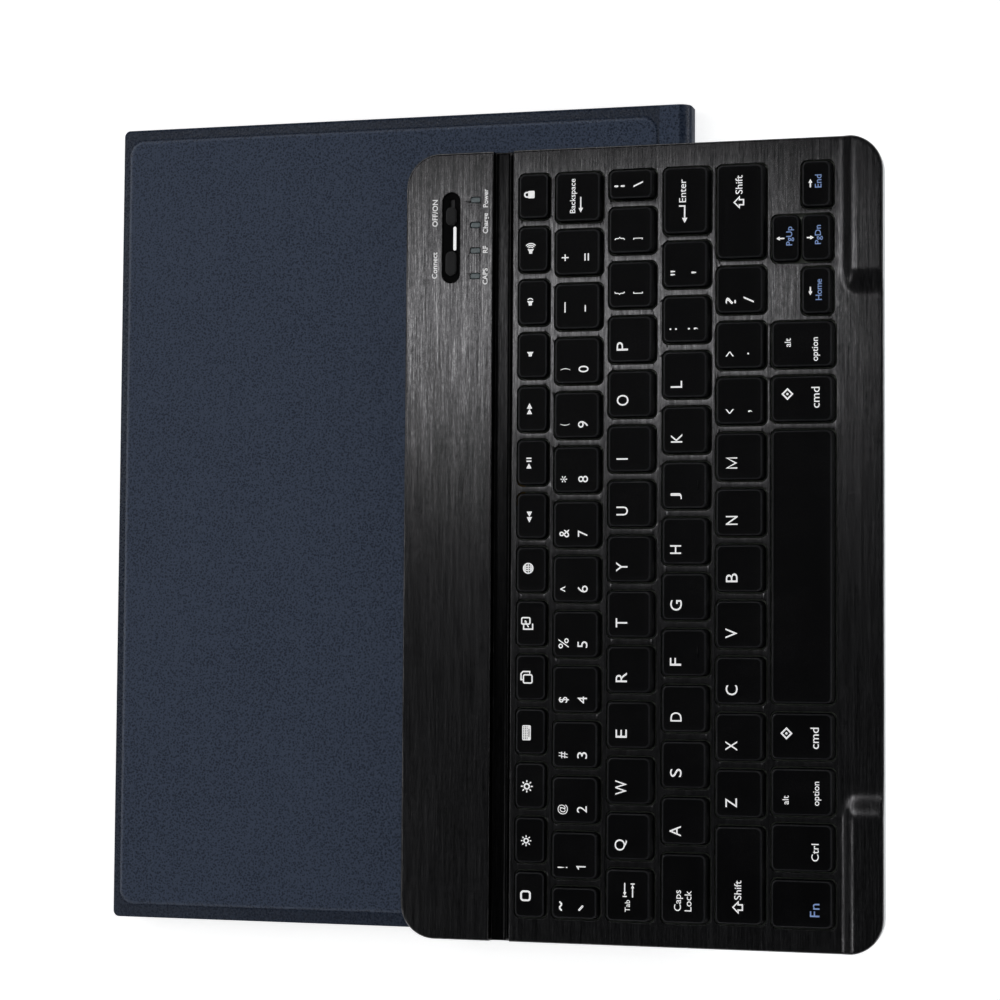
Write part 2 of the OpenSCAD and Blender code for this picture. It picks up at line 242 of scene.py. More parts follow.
def cut(ob, cutters):
    """Boolean difference, applied."""
    for c in cutters:
        m = ob.modifiers.new("cut", "BOOLEAN")
        m.operation, m.solver, m.object = "DIFFERENCE", "EXACT", c
    bpy.context.view_layer.update()
    apply_mods(ob)
    for c in cutters:
        bpy.data.objects.remove(c)
    return ob


def refined(name, node, mat, bevel=0.2, segs=2, angle=38, extra=()):
    """A CAD node's own solid with its flat faces merged and its edges rounded."""
    src = NODES[node]
    bm = bmesh.new()
    bm.from_mesh(src.data)
    bmesh.ops.remove_doubles(bm, verts=bm.verts, dist=2e-6)
    bmesh.ops.dissolve_limit(bm, angle_limit=math.radians(0.6), verts=bm.verts, edges=bm.edges)
    bmesh.ops.recalc_face_normals(bm, faces=bm.faces)
    if bevel:
        lim = math.radians(50)
        edges = [e for e in bm.edges if len(e.link_faces) == 2 and e.calc_face_angle(0.0) > lim]
        bmesh.ops.bevel(bm, geom=edges, offset=bevel * MM, segments=segs, profile=0.5,
                        affect="EDGES", clamp_overlap=True)
    me = bpy.data.meshes.new(name)
    bm.to_mesh(me)
    bm.free()
    me.materials.clear()
    for mt in [mat, *extra]:
        me.materials.append(mt)
    ob = tidy(name, me, angle)
    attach(ob, src["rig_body"])
    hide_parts(node)
    return ob


# ---------------------------------------------------------------- materials
def srgb(r, g, b):
    """0-255 screen values to linear."""
    out = []
    for c in (r, g, b):
        c = c / 255.0
        out.append(c / 12.92 if c <= 0.04045 else ((c + 0.055) / 1.055) ** 2.4)
    return (*out, 1.0)


class Mat:
    def __init__(self, name):
        self.mat = bpy.data.materials.new(name)
        self.mat.use_nodes = True
        self.t = self.mat.node_tree
        self.t.nodes.clear()
        self.out = self.n("ShaderNodeOutputMaterial")
        self.p = self.n("ShaderNodeBsdfPrincipled")
        self.l(self.p.outputs[0], self.out.inputs[0])
        self.co = self.n("ShaderNodeTexCoord").outputs["Object"]

    def n(self, kind, **props):
        node = self.t.nodes.new(kind)
        for k, v in props.items():
            setattr(node, k, v)
        return node

    def l(self, a, b):
        self.t.links.new(a, b)

    def mapping(self, scale, co=None):
        m = self.n("ShaderNodeMapping")
        m.inputs["Scale"].default_value = scale if hasattr(scale, "__len__") else (scale,) * 3
        self.l(co or self.co, m.inputs["Vector"])
        return m.outputs[0]

    def noise(self, scale, detail=3.0, rough=0.55, vec=None, distortion=0.0):
        """scale in features per metre, one number or three."""
        t = self.n("ShaderNodeTexNoise")
        t.inputs["Scale"].default_value = 1.0
        t.inputs["Detail"].default_value = detail
        t.inputs["Roughness"].default_value = rough
        t.inputs["Distortion"].default_value = distortion
        self.l(self.mapping(scale, vec), t.inputs["Vector"])
        return t.outputs["Fac"]

    def voronoi(self, scale, feature="F1", vec=None, rand=1.0):
        t = self.n("ShaderNodeTexVoronoi", feature=feature)
        t.inputs["Scale"].default_value = 1.0
        t.inputs["Randomness"].default_value = rand
        self.l(self.mapping(scale, vec), t.inputs["Vector"])
        return t.outputs["Distance"]

    def ramp(self, fac, stops, interp="LINEAR"):
        r = self.n("ShaderNodeValToRGB")
        r.color_ramp.interpolation = interp
        el = r.color_ramp.elements
        while len(el) < len(stops):
            el.new(0.5)
        for e, (pos, col) in zip(el, stops):
            e.position = pos
            e.color = col if hasattr(col, "__len__") else (col, col, col, 1)
        self.l(fac, r.inputs[0])
        return r.outputs[0]

    def math(self, op, a, b=None, clamp=False):
        m = self.n("ShaderNodeMath", operation=op, use_clamp=clamp)
        for i, x in enumerate((a, b)):
            if x is None:
                continue
            if isinstance(x, (int, float)):
                m.inputs[i].default_value = x
            else:
                self.l(x, m.inputs[i])
        return m.outputs[0]

    def mix(self, fac, a, b):
        m = self.n("ShaderNodeMix", data_type="RGBA")
        if isinstance(fac, (int, float)):
            m.inputs[0].default_value = fac
        else:
            self.l(fac, m.inputs[0])
        for i, x in ((6, a), (7, b)):
            if isinstance(x, tuple):
                m.inputs[i].default_value = x
            else:
                self.l(x, m.inputs[i])
        return m.outputs[2]

    def bump(self, height, strength, distance, normal=None):
        b = self.n("ShaderNodeBump")
        b.inputs["Strength"].default_value = strength
        b.inputs["Distance"].default_value = distance
        self.l(height, b.inputs["Height"])
        if normal is not None:
            self.l(normal, b.inputs["Normal"])
        return b.outputs[0]

    def set(self, **kw):
        for k, v in kw.items():
            s = self.p.inputs[k.replace("_", " ")]
            if isinstance(v, (int, float, tuple)):
                s.default_value = v
            else:
                self.l(v, s)


def grainy(name, dark, light, scale=900, rough=(0.4, 0.6), bump=0.1, dist=0.00004, metallic=0.0,
           spec=0.5, detail=4.0, blotch=60):
    """Moulded or painted surface: two-tone colour, fine grain, uneven gloss."""
    m = Mat(name)
    fine = m.noise(scale, detail)
    big = m.noise(blotch, 2.0)
    both = m.math("ADD", m.math("MULTIPLY", fine, 0.6), m.math("MULTIPLY", big, 0.4))
    m.set(Base_Color=m.ramp(both, [(0.36, dark), (0.64, light)]),
          Roughness=m.ramp(both, [(0.35, rough[0]), (0.65, rough[1])]),
          Normal=m.bump(fine, bump, dist), Metallic=metallic)
    m.p.inputs["Specular IOR Level"].default_value = spec
    return m.mat


def leather_mat(name="navy_leather", grain_k=1.0, tint=1.0, spec=0.5, flat=1.0, rough_k=1.0):
    """Fine pebbled grain about half a millimetre across, with pores and soft cloudiness."""
    m = Mat(name)
    warp = m.noise(700, 2.0)
    cells = m.voronoi(1350, "F1")
    cells2 = m.voronoi(2100, "F1")
    pores = m.noise(1700, 2.0)
    cloud = m.noise(38, 3.0)
    grain = m.math("ADD", m.math("MULTIPLY", cells, 0.45), m.math("MULTIPLY", cells2, 0.20))
    grain = m.math("ADD", grain, m.math("MULTIPLY", pores, 0.45))
    tone = m.math("ADD", m.math("MULTIPLY", grain, 0.92), m.math("MULTIPLY", cloud, 0.08))
    k = tint
    g = flat
    col = m.ramp(tone, [(0.49 - 0.07 * g, (0.0130 * k, 0.0230 * k, 0.0500 * k, 1)), (0.49, (0.0320 * k, 0.0490 * k, 0.0900 * k, 1)),
                        (0.49 + 0.08 * g, (0.0640 * k, 0.0900 * k, 0.1500 * k, 1))])
    rough = m.ramp(m.math("ADD", m.math("MULTIPLY", warp, 0.5), m.math("MULTIPLY", grain, 0.5)),
                   [(0.3, 0.36 * rough_k), (0.7, 0.54 * rough_k)])
    b1 = m.bump(m.noise(90, 2.0), 0.10, 0.0006)
    nrm = m.bump(grain, 1.0 * grain_k, 0.00030, b1)
    m.set(Base_Color=col, Roughness=rough, Normal=nrm)
    m.p.inputs["Specular IOR Level"].default_value = spec
    return m.mat


def deck_mat(name="brushed_deck", k=1.0):
    """Black anodised, brushed along Y."""
    m = Mat(name)
    s1 = m.noise((2700, 70, 900), 2.0, 0.6)
    s2 = m.noise((1150, 26, 500), 2.0, 0.6)
    s3 = m.noise((3600, 420, 900), 1.0, 0.5)
    grit = m.noise(2600, 2.0, 0.6)
    st = m.math("ADD", m.math("MULTIPLY", s1, 0.36), m.math("MULTIPLY", s2, 0.22))
    st = m.math("ADD", st, m.math("MULTIPLY", s3, 0.24))
    st = m.math("ADD", st, m.math("MULTIPLY", grit, 0.18))
    col = m.ramp(st, [(0.38, (0.030 * k, 0.030 * k, 0.031 * k, 1)), (0.50, (0.086 * k, 0.085 * k, 0.088 * k, 1)),
                      (0.58, (0.150 * k, 0.148 * k, 0.152 * k, 1)), (0.66, (0.250 * k, 0.246 * k, 0.250 * k, 1))])
    rough = m.ramp(st, [(0.35, 0.205), (0.65, 0.165)])
    nrm = m.bump(st, 0.30, 0.00003)
    m.set(Base_Color=col, Roughness=rough, Normal=nrm, Metallic=0.96)
    m.p.inputs["Specular IOR Level"].default_value = 0.2
    return m.mat


def case_mat():
    m = Mat("silver_case")
    fine = m.noise(3600, 3.0)
    big = m.noise(45, 2.0)
    both = m.math("ADD", m.math("MULTIPLY", fine, 0.6), m.math("MULTIPLY", big, 0.4))
    m.set(Base_Color=m.ramp(both, [(0.35, (0.46, 0.49, 0.50, 1)), (0.65, (0.60, 0.63, 0.64, 1))]),
          Roughness=m.ramp(both, [(0.35, 0.34), (0.65, 0.46)]),
          Normal=m.bump(fine, 0.12, 0.00003), Metallic=0.35)
    return m.mat


def keycap_mat(name="keycap", k=1.0, rough=(0.46, 0.60), spec=0.14):
    """Near-black moulded plastic with a fine spark-eroded texture."""
    m = Mat(name)
    fine = m.noise(3000, 3.0, 0.65)
    spark = m.voronoi(3300)
    big = m.noise(70, 2.0)
    both = m.math("ADD", m.math("MULTIPLY", fine, 0.65), m.math("MULTIPLY", big, 0.35))
    m.set(Base_Color=m.ramp(both, [(0.40, (0.0012 * k, 0.0013 * k, 0.0020 * k, 1)), (0.54, (0.0030 * k, 0.0031 * k, 0.0040 * k, 1)),
                                   (0.66, (0.0110 * k, 0.0110 * k, 0.0120 * k, 1))]),
          Roughness=m.ramp(both, [(0.35, rough[0]), (0.65, rough[1])]),
          Normal=m.bump(m.math("ADD", fine, m.math("MULTIPLY", spark, 0.5)), 0.45, 0.00005))
    m.p.inputs["Specular IOR Level"].default_value = spec
    return m.mat


def ink_mat(name, dark, light, painted_glow, strength):
    """Printed ink, slightly uneven, with a painted glow from its emission that keeps it bright."""
    m = Mat(name)
    fine = m.noise(2500, 3.0)
    col = m.ramp(fine, [(0.36, dark), (0.64, light)])
    m.set(Base_Color=col, Roughness=m.ramp(fine, [(0.35, 0.5), (0.65, 0.6)]), Normal=m.bump(fine, 0.03, 0.00003))
    m.p.inputs["Emission Color"].default_value = painted_glow
    m.p.inputs["Emission Strength"].default_value = strength
    m.p.inputs["Specular IOR Level"].default_value = 0.3
    return m.mat


M = {
    "leather": leather_mat(tint=0.90),
    # border and spine-top leather: smoother and glossier, with a darker tint that is painted shade
    "smooth_shaded_edge_leather": leather_mat("navy_smooth_edge_painted_shade", 0.25, 0.54, 0.40, 3.0, 0.60),
    # spine-bend leather with a darker tint: painted shade where the bend turns away from the light
    "bend_shade_leather": leather_mat("navy_bend_painted_shade", 0.25, 0.40, 0.05, 3.0),
    "deck": deck_mat(),
    # groove floor: the deck's brushed metal darkened to paint the shade in the recess
    "groove": deck_mat("brushed_groove_painted_shade", 0.22),
    # keycap rim: glossier plastic whose brighter colour is a painted highlight
    "cap_rim_highlight": keycap_mat("keycap_rim_painted_highlight", 3.0, (0.30, 0.40), 0.5),
    "case": case_mat(),
    "cap": keycap_mat(k=0.6, rough=(0.34, 0.46), spec=0.14),
    # legends and deck labels: their own white or blue print colour plus a painted glow
    "white": ink_mat("legend_white", (0.84, 0.84, 0.84, 1), (0.93, 0.93, 0.93, 1), (1.0, 1.0, 1.0, 1), 0.45),
    "blue": ink_mat("legend_blue", (0.27, 0.40, 0.70, 1), (0.33, 0.47, 0.79, 1), (0.32, 0.46, 0.90, 1), 0.20),
    "label": ink_mat("deck_label", (0.84, 0.84, 0.84, 1), (0.93, 0.93, 0.93, 1), (1.0, 1.0, 1.0, 1), 0.35),
    "well": grainy("switch_well", (0.0015, 0.0015, 0.0018, 1), (0.0035, 0.0035, 0.0038, 1), 1800, (0.42, 0.55), 0.05, spec=0.08),
    "knob": grainy("knob_black", (0.021, 0.021, 0.022, 1), (0.036, 0.036, 0.037, 1), 2600, (0.42, 0.55), 0.12, spec=0.2),
    # white strip in the switch slot: a glowing painted reflection
    "reflection_glow": ink_mat("switch_painted_reflection", (0.86, 0.86, 0.86, 1), (0.93, 0.93, 0.93, 1), (1.0, 1.0, 1.0, 1), 0.55),
    "window": grainy("status_window", (0.150, 0.185, 0.195, 1), (0.200, 0.240, 0.250, 1), 700, (0.22, 0.34), 0.04),
    "led": grainy("led", (0.55, 0.55, 0.42, 1), (0.72, 0.72, 0.58, 1), 1500, (0.2, 0.35), 0.05),
    "lining": None, "tray": None,
    "board": grainy("grey_board", (0.24, 0.20, 0.145, 1), (0.40, 0.345, 0.26, 1), 1600, (0.75, 0.9), 0.3, 0.00006),
    "magnet": grainy("magnet", (0.50, 0.50, 0.51, 1), (0.66, 0.66, 0.67, 1), 1200, (0.16, 0.3), 0.06, metallic=1.0),
    "steel": grainy("steel", (0.42, 0.42, 0.43, 1), (0.60, 0.60, 0.61, 1), 1800, (0.24, 0.38), 0.08, metallic=1.0),
    "membrane": grainy("membrane", (0.42, 0.47, 0.40, 1), (0.56, 0.60, 0.52, 1), 500, (0.2, 0.35), 0.05),
    "dome": grainy("dome_rubber", (0.20, 0.20, 0.205, 1), (0.28, 0.28, 0.285, 1), 1500, (0.5, 0.65), 0.1),
    "plastic": grainy("inner_plastic", (0.030, 0.030, 0.032, 1), (0.055, 0.055, 0.058, 1), 1500, (0.35, 0.5), 0.1),
    "pcb": grainy("board_green", (0.006, 0.060, 0.028, 1), (0.012, 0.105, 0.048, 1), 380, (0.25, 0.45), 0.1),
    "battery": grainy("battery_foil", (0.42, 0.43, 0.45, 1), (0.62, 0.63, 0.65, 1), 260, (0.25, 0.42), 0.25, 0.0001, metallic=0.9),
    "ribbon": grainy("ribbon", (0.50, 0.32, 0.08, 1), (0.68, 0.45, 0.14, 1), 420, (0.25, 0.4), 0.06),
    "foot": grainy("foot_rubber", (0.012, 0.012, 0.012, 1), (0.030, 0.030, 0.030, 1), 2400, (0.65, 0.85), 0.25),
}


def lining_mat():
    """Brushed microfibre: short soft nap, cloudy tone."""
    m = Mat("lining")
    nap = m.noise((3800, 2600, 3800), 4.0, 0.7)
    cloud = m.noise(55, 3.0, 0.6, distortion=0.6)
    both = m.math("ADD", m.math("MULTIPLY", nap, 0.5), m.math("MULTIPLY", cloud, 0.5))
    m.set(Base_Color=m.ramp(both, [(0.34, (0.050, 0.053, 0.060, 1)), (0.66, (0.105, 0.110, 0.122, 1))]),
          Roughness=m.ramp(nap, [(0.3, 0.82), (0.7, 0.96)]),
          Normal=m.bump(nap, 0.45, 0.00012))
    m.p.inputs["Sheen Weight"].default_value = 0.35
    m.p.inputs["Sheen Roughness"].default_value = 0.45
    m.p.inputs["Specular IOR Level"].default_value = 0.2
    return m.mat


def tray_mat():
    m = Mat("tray_shell")
    spark = m.voronoi(2400)
    fine = m.noise(3000, 3.0)
    h = m.math("ADD", m.math("MULTIPLY", spark, 0.6), m.math("MULTIPLY", fine, 0.4))
    m.set(Base_Color=m.ramp(h, [(0.3, (0.010, 0.0115, 0.0145, 1)), (0.7, (0.024, 0.026, 0.031, 1))]),
          Roughness=m.ramp(h, [(0.3, 0.40), (0.7, 0.56)]), Normal=m.bump(h, 0.2, 0.00006))
    return m.mat


M["lining"], M["tray"] = lining_mat(), tray_mat()


# ---------------------------------------------------------------- folio leather
def smooth(t):
    t = np.clip(t, 0, 1)
    return t * t * (3 - 2 * t)


def sdf_rr(x, y, x0, y0, x1, y1, r):
    """Distance inside a rounded rectangle's outline, negative outside."""
    cx, cy, hx, hy = (x0 + x1) / 2, (y0 + y1) / 2, (x1 - x0) / 2 - r, (y1 - y0) / 2 - r
    qx, qy = abs(x - cx) - hx, abs(y - cy) - hy
    return r - (math.hypot(max(qx, 0), max(qy, 0)) + min(max(qx, qy), 0))


PX0, PX1, PY0, PY1, PR = 2.6, 177.8, 4.5, FOLIO_L - 4.0, 4.5
SKIN, STEP, EDGE_R, SP_R = 1.0, 0.8, 0.45, 3.8
MID_Z = Z_TOP / 2


def span(a, b, n):
    return [a + (b - a) * i / n for i in range(n)]


def leather(name):
    """One leaf with its bend and half of the spine, as one closed skin, in folio mm with z up to the top panel."""
    edge = [EDGE_R * (1 - math.cos(math.radians(a))) for a in (0, 20, 40, 60, 80)]
    xs = [*edge, *span(0.45, 1.6, 3), *span(1.6, 3.6, 12), *span(3.6, 9, 9), *span(9, 171, 36),
          *span(171, 176.4, 6), *span(176.4, 179.2, 14), *span(179.2, LEAF_X, 8)]
    arc_n = 14
    arc_s = [LEAF_X + SP_R * math.pi / 2 * i / arc_n for i in range(arc_n)]
    s_arc_end = LEAF_X + SP_R * math.pi / 2
    flat = (Z_TOP - STEP - SP_R) - MID_Z
    ss = xs + arc_s + [s_arc_end + flat * i / 4 for i in range(5)]
    lo = [*edge, *span(0.45, 3.2, 5), *span(3.2, 6.0, 14), *span(6.0, 10, 7)]
    ys = lo + span(10, FOLIO_L - 9, 60) + [FOLIO_L - 9 + t for t in span(0, 3.6, 6)]
    ys += [FOLIO_L - 5.4 + t for t in span(0, 2.9, 14)] + [FOLIO_L - 2.5 + t for t in span(0, 2.05, 4)]
    ys += [FOLIO_L - e for e in reversed(edge)]
    wave = np.random.RandomState(7)
    ph = wave.uniform(0, 6.28, 8)

    def place(s, y):
        # corner rounding at the free edge
        d_end = min(y, FOLIO_L - y)
        xl = 2.0 - math.sqrt(max(4.0 - (2.0 - d_end) ** 2, 0)) if d_end < 2.0 else 0.0
        x = xl + s * (1 - xl / 12.0) if s < 12 else s
        panel = float(smooth((sdf_rr(x, y, PX0, PY0, PX1, PY1, PR) + 0.62) / 1.5))
        inner = float(smooth((sdf_rr(x, y, PX0, PY0, PX1, PY1, PR) - 0.1) / 0.5))
        d = max(min(sdf_rr(x, y, 0, 0, LEAF_X + 40, FOLIO_L, 2.0), 5), 0)
        drop = EDGE_R - math.sqrt(max(EDGE_R ** 2 - (EDGE_R - min(d, EDGE_R)) ** 2, 0))
        soft = 0.020 * (math.sin(x / 23 + y / 31 + ph[0]) + math.sin(x / 11 - y / 17 + ph[1]) * 0.6
                        + math.sin(y / 9 + ph[2]) * 0.3 * math.sin(x / 14 + ph[3]))
        h_out = STEP * panel - drop + (soft - 0.04) * panel
        h_in = -SKIN + 1.2 * inner * panel
        base = Z_TOP - STEP
        if s <= LEAF_X:
            return (x, y, base + h_out), (x, y, base + h_in)
        a = min((s - LEAF_X) / SP_R, math.pi / 2)
        down = max(s - s_arc_end, 0)
        nx, nz = math.sin(a), math.cos(a)
        cx, cz = LEAF_X, base - SP_R
        out = (cx + (SP_R - drop) * nx, y, cz + (SP_R - drop) * nz - down)
        inn = (cx + (SP_R - SKIN) * nx, y, cz + (SP_R - SKIN) * nz - down)
        return out, inn

    mb = MB()
    ni, nj = len(ss), len(ys)
    top = np.zeros((ni, nj), int)
    bot = np.zeros((ni, nj), int)
    for i, s in enumerate(ss):
        for j, y in enumerate(ys):
            o, n = place(s, y)
            top[i, j], bot[i, j] = mb.add(o), mb.add(n)
    for i in range(ni - 1):
        for j in range(nj - 1):
            mb.face((top[i, j], top[i + 1, j], top[i + 1, j + 1], top[i, j + 1]))
            mb.face((bot[i, j], bot[i, j + 1], bot[i + 1, j + 1], bot[i + 1, j]))
    # faces on the border outside the raised panel and on the spine top take the smoother border leather, whose darker
    # tint is painted shade
    for k, f in enumerate(mb.f):
        c = np.array([mb.v[i] for i in f]).mean(0)
        if (c[0] < 179 and sdf_rr(c[0], c[1], PX0, PY0, PX1, PY1, PR) < -0.1) or c[0] > LEAF_X + 0.6:
            # the bend past LEAF_X + 3.1 takes the darker bend leather: painted shade
            mb.m[k] = 2 if c[0] > LEAF_X + 3.1 else 1
    rim = [(i, 0) for i in range(ni)] + [(ni - 1, j) for j in range(1, nj)]
    rim += [(i, nj - 1) for i in range(ni - 2, -1, -1)] + [(0, j) for j in range(nj - 2, 0, -1)]
    for (a, b), (c, d) in zip(rim, rim[1:] + rim[:1]):
        mb.face((top[a, b], bot[a, b], bot[c, d], top[c, d]))
    return mb


def folio_piece(name, flip):
    mb = leather(name)
    if flip:
        mb.v = [(x, y, Z_TOP - z) for x, y, z in mb.v]
    return make(name, mb, [M["leather"], M["smooth_shaded_edge_leather"], M["bend_shade_leather"]], (FX, FY, 0), angle=50, weighted=False)


def rounded_cutter(x0, y0, x1, y1, r, z0, z1):
    mb = MB()
    a, b = mb.rings([[(x, y, z0) for x, y in rr(x0, y0, x1, y1, r, 10)],
                     [(x, y, z1) for x, y in rr(x0, y0, x1, y1, r, 10)]])
    mb.face(a)
    mb.face(list(reversed(b)))
    return make("cutter", mb, [], (0, 0, 0), weighted=False)


CAM = (FX + 14, FY + 218, FX + 30, FY + 234)
front = folio_piece("front_leather", False)
back = folio_piece("back_leather", True)
cut(back, [rounded_cutter(CAM[0], CAM[1], CAM[2], CAM[3], 3.0, -1, 4)])
h = Z_TOP - STEP
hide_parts("front_cover_skin", "cover_hinge_leather")
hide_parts("back_cover_skin", "back_hinge_leather")
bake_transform(front)
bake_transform(back)


# the spine's own wrapped stiffener, seen from inside when the case is open
def spine_liner():
    lo, hi = box_mm("spine_board")
    mb = MB()
    x0, x1 = lo[0] - FX, hi[0] - FX
    ys = [0.8, *span(3, FOLIO_L - 3, 50), FOLIO_L - 3, FOLIO_L - 0.8]
    rings = []
    for y in ys:
        k = 0.0 if 1 < y < FOLIO_L - 1 else 0.25
        rings.append([(x1 - 0.02, y, lo[2] + 0.1 + k), (x1 - 0.02, y, hi[2] - 0.1 - k), (x0 + 0.25, y, hi[2] - 0.1 - k),
                      (x0 + 0.06, y, hi[2] - 0.3 - k), (x0, y, hi[2] - 0.7), (x0, y, lo[2] + 0.7),
                      (x0 + 0.06, y, lo[2] + 0.3 + k), (x0 + 0.25, y, lo[2] + 0.1 + k)])
    r = mb.rings(rings)
    mb.face(r[0])
    mb.face(list(reversed(r[-1])))
    ob = make("spine_liner", mb, [M["lining"]], (FX, FY, 0), angle=50)
    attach(ob, "spine")
    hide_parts("spine_board", "spine_skin")


spine_liner()

for node, key, slot_name in (("front_cover_lining", "lining", "lining"), ("back_cover_lining", "lining", "lining")):
    ob = refined(node + "_cloth", node, M[key], 0.18, 2)
refined("tablet_tray_shell", "tablet_tray", M["tray"], 0.22, 2)


# ---------------------------------------------------------------- keyboard deck
GV0, GV1, GD = 28.4, 34.9, 2.5
GROOVE = [(28.06, 0.0), (28.20, -0.03), (28.32, -0.12), (28.40, -0.30), (28.46, -0.9), (28.55, -1.6),
          (28.72, -2.02), (29.0, -2.28), (29.5, -2.42), (30.2, -2.48), (32.4, -2.50), (32.9, -2.44),
          (33.4, -2.28), (33.9, -2.00), (34.3, -1.64), (34.6, -1.20), (34.78, -0.75), (34.86, -0.40), (34.92, -0.18),
          (35.02, -0.06), (35.20, 0.0)]
G_V = [p[0] for p in GROOVE]
G_Z = [p[1] for p in GROOVE]
LIP_V, LIP_H, LIP_L = 136.5, 1.2, 44.6


def lip(v, u):
    d = u if u < KB_L / 2 else KB_L - u
    x1 = LIP_L + 3.9
    if v < LIP_V or d > x1:
        return 0.0
    across = min((v - LIP_V) / 5.0, 1.0)
    along = min((x1 - d) / 8.6, 1.0)
    k = 1 - math.hypot(1 - across, 1 - along) if across < 1 and along < 1 else min(across, along)
    return LIP_H * float(smooth(max(k, 0.0)))


def deck_h(v, u):
    return DECK + float(np.interp(v, G_V, G_Z)) + lip(v, u)


def key_rects():
    """Base and face rectangles of every keycap, from the CAD nodes, in keyboard mm."""
    out = {}
    for name, ob in NODES.items():
        if not (name.startswith("key_") or name.startswith("keys_")) or name == "key_support_plate":
            continue
        co = np.array([v.co for v in ob.data.vertices]) / MM
        ids = {}
        rid = np.array([ids.setdefault(tuple(np.round(c, 3)), len(ids)) for c in co])
        parent = list(range(len(ids)))

        def root(a):
            while parent[a] != a:
                parent[a] = parent[parent[a]]
                a = parent[a]
            return a

        for p in ob.data.polygons:
            vs = [rid[k] for k in p.vertices]
            for k in vs[1:]:
                ra, rb = root(vs[0]), root(k)
                if ra != rb:
                    parent[ra] = rb
        groups = {}
        for k, c in zip(rid, co):
            groups.setdefault(root(k), []).append(c)
        caps = []
        for g in groups.values():
            g = np.array(g) - (KX, KY, KZ)
            z0, z1 = g[:, 2].min(), g[:, 2].max()
            face = g[g[:, 2] > z1 - 0.01]
            caps.append((g[:, 0].min(), g[:, 1].min(), g[:, 0].max(), g[:, 1].max(),
                         face[:, 0].min(), face[:, 1].min(), face[:, 0].max(), face[:, 1].max(), z0, z1))
        caps.sort(key=lambda c: c[1])
        out[name] = caps
    return out


KEYS = key_rects()
GAP = 0.4
LED_U = (229.5, 221.6, 213.6, 205.6)


def openings():
    rects = []
    for name, caps in KEYS.items():
        if name in ("key_page_up", "key_page_down"):
            continue
        for c in caps:
            rects.append((c[0] - GAP, c[1] - GAP, c[2] + GAP, c[3] + GAP, 2.1))
    up, dn = KEYS["key_page_up"][0], KEYS["key_page_down"][0]
    rects.append((up[0] - GAP, up[1] - GAP, dn[2] + GAP, dn[3] + GAP, 2.1))
    for u in LED_U:
        rects.append((21.0, u - 0.95, 24.4, u + 0.95, 0.62))
    rects.append((11.9, 203.6, 17.7, 232.2, 2.88))
    return rects


def fillet(b, n=3):
    """(distance from the edge, drop) for a rounded edge of radius b, from the flat inwards."""
    return [(b * (1 - math.sin(math.radians(90 * i / n))), b * (1 - math.cos(math.radians(90 * i / n))))
            for i in range(n + 1)]


RIM = 0.72
T0, T1 = GV0 - 0.8, GV1 + 0.8


def deck():
    mb = MB()
    ey = sorted({*np.arange(14, KB_L - 13, 6.0).round(3), *np.arange(12, 48, 1.5), *np.arange(KB_L - 48, KB_L - 11.5, 1.5)})
    ex = sorted({*G_V, T0, T0 + 0.04, T1 - 0.04, T1, *np.arange(14, 27, 4), *np.arange(40, 137, 6), 137.0, 137.6, 138.2})
    R = 10.8
    outer = []
    for d, drop in fillet(RIM, 6):
        pts = rr(d, d, KB_D - d, KB_L - d, R - d, 14, ex, ey)
        outer.append([(x, y, deck_h(x, y) - drop) for x, y in pts])
    base_pts = rr(0, 0, KB_D, KB_L, R, 14, ex, ey)

    def under(v):
        return DECK - GD - 0.8 if T0 + 0.02 < v < T1 - 0.02 else DECK - DECK_T

    chain = mb.rings(outer)
    low = mb.ring([(x, y, under(x) + 0.12) for x, y in base_pts])
    mb.bridge(chain[-1], low)
    low2 = mb.ring([(x + (0.1 if x < 1 else -0.1 if x > KB_D - 1 else 0), y + (0.1 if y < 1 else -0.1 if y > KB_L - 1 else 0), under(x)) for x, y in base_pts])
    mb.bridge(low, low2)
    top_holes, bottom_holes = [], []
    for x0, y0, x1, y1, r in openings():
        b = 0.16 if r > 1 else 0.10
        rings = [[(x, y, DECK - drop) for x, y in rr(x0 - d, y0 - d, x1 + d, y1 + d, r + d, 7)] for d, drop in fillet(b)]
        rings.append([(x, y, DECK - DECK_T) for x, y in rr(x0, y0, x1, y1, r, 7)])
        c = mb.rings(rings)
        top_holes.append(c[0])
        bottom_holes.append(c[-1])
    inner = chain[0]
    # groove lines run from end to end
    coords = {i: mb.v[i] for i in inner}
    lines = []
    for v in G_V:
        ends = sorted([i for i in inner if abs(coords[i][0] - v) < 1e-6], key=lambda i: coords[i][1])
        lines.append((ends[0], ends[-1]))
    extra = []
    for s in (0, 1):
        for u in np.arange(0.8, 50, 0.9):
            for v in np.arange(136.6, 149.2, 0.7):
                uu = u if s == 0 else KB_L - u
                if sdf_rr(v, uu, RIM, RIM, KB_D - RIM, KB_L - RIM, R - RIM) > 0.35:
                    extra.append((v, uu))
    mb.fill(inner, top_holes, deck_h, extra, lines)
    lines = []
    for v in (T0, T0 + 0.04, T1 - 0.04, T1):
        ends = sorted([i for i in low2 if abs(mb.v[i][0] - v) < 0.02], key=lambda i: mb.v[i][1])
        lines.append((ends[0], ends[-1]))
    mb.fill(low2, bottom_holes, lambda x, y: under(x), (), lines)
    # faces on the groove floor take the darkened groove material: painted shade
    for k, f in enumerate(mb.f):
        c = np.array([mb.v[i] for i in f]).mean(0)
        if GV0 - 0.1 < c[0] < GV1 + 0.1 and DECK - GD - 0.3 < c[2] < DECK - 0.25:
            mb.m[k] = 1
    ob = make("keyboard_deck", mb, [M["deck"], M["groove"]], (KX, KY, KZ), angle=40)
    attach(ob, "keyboard")
    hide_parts("keyboard_top_cover")
    return ob


deck()


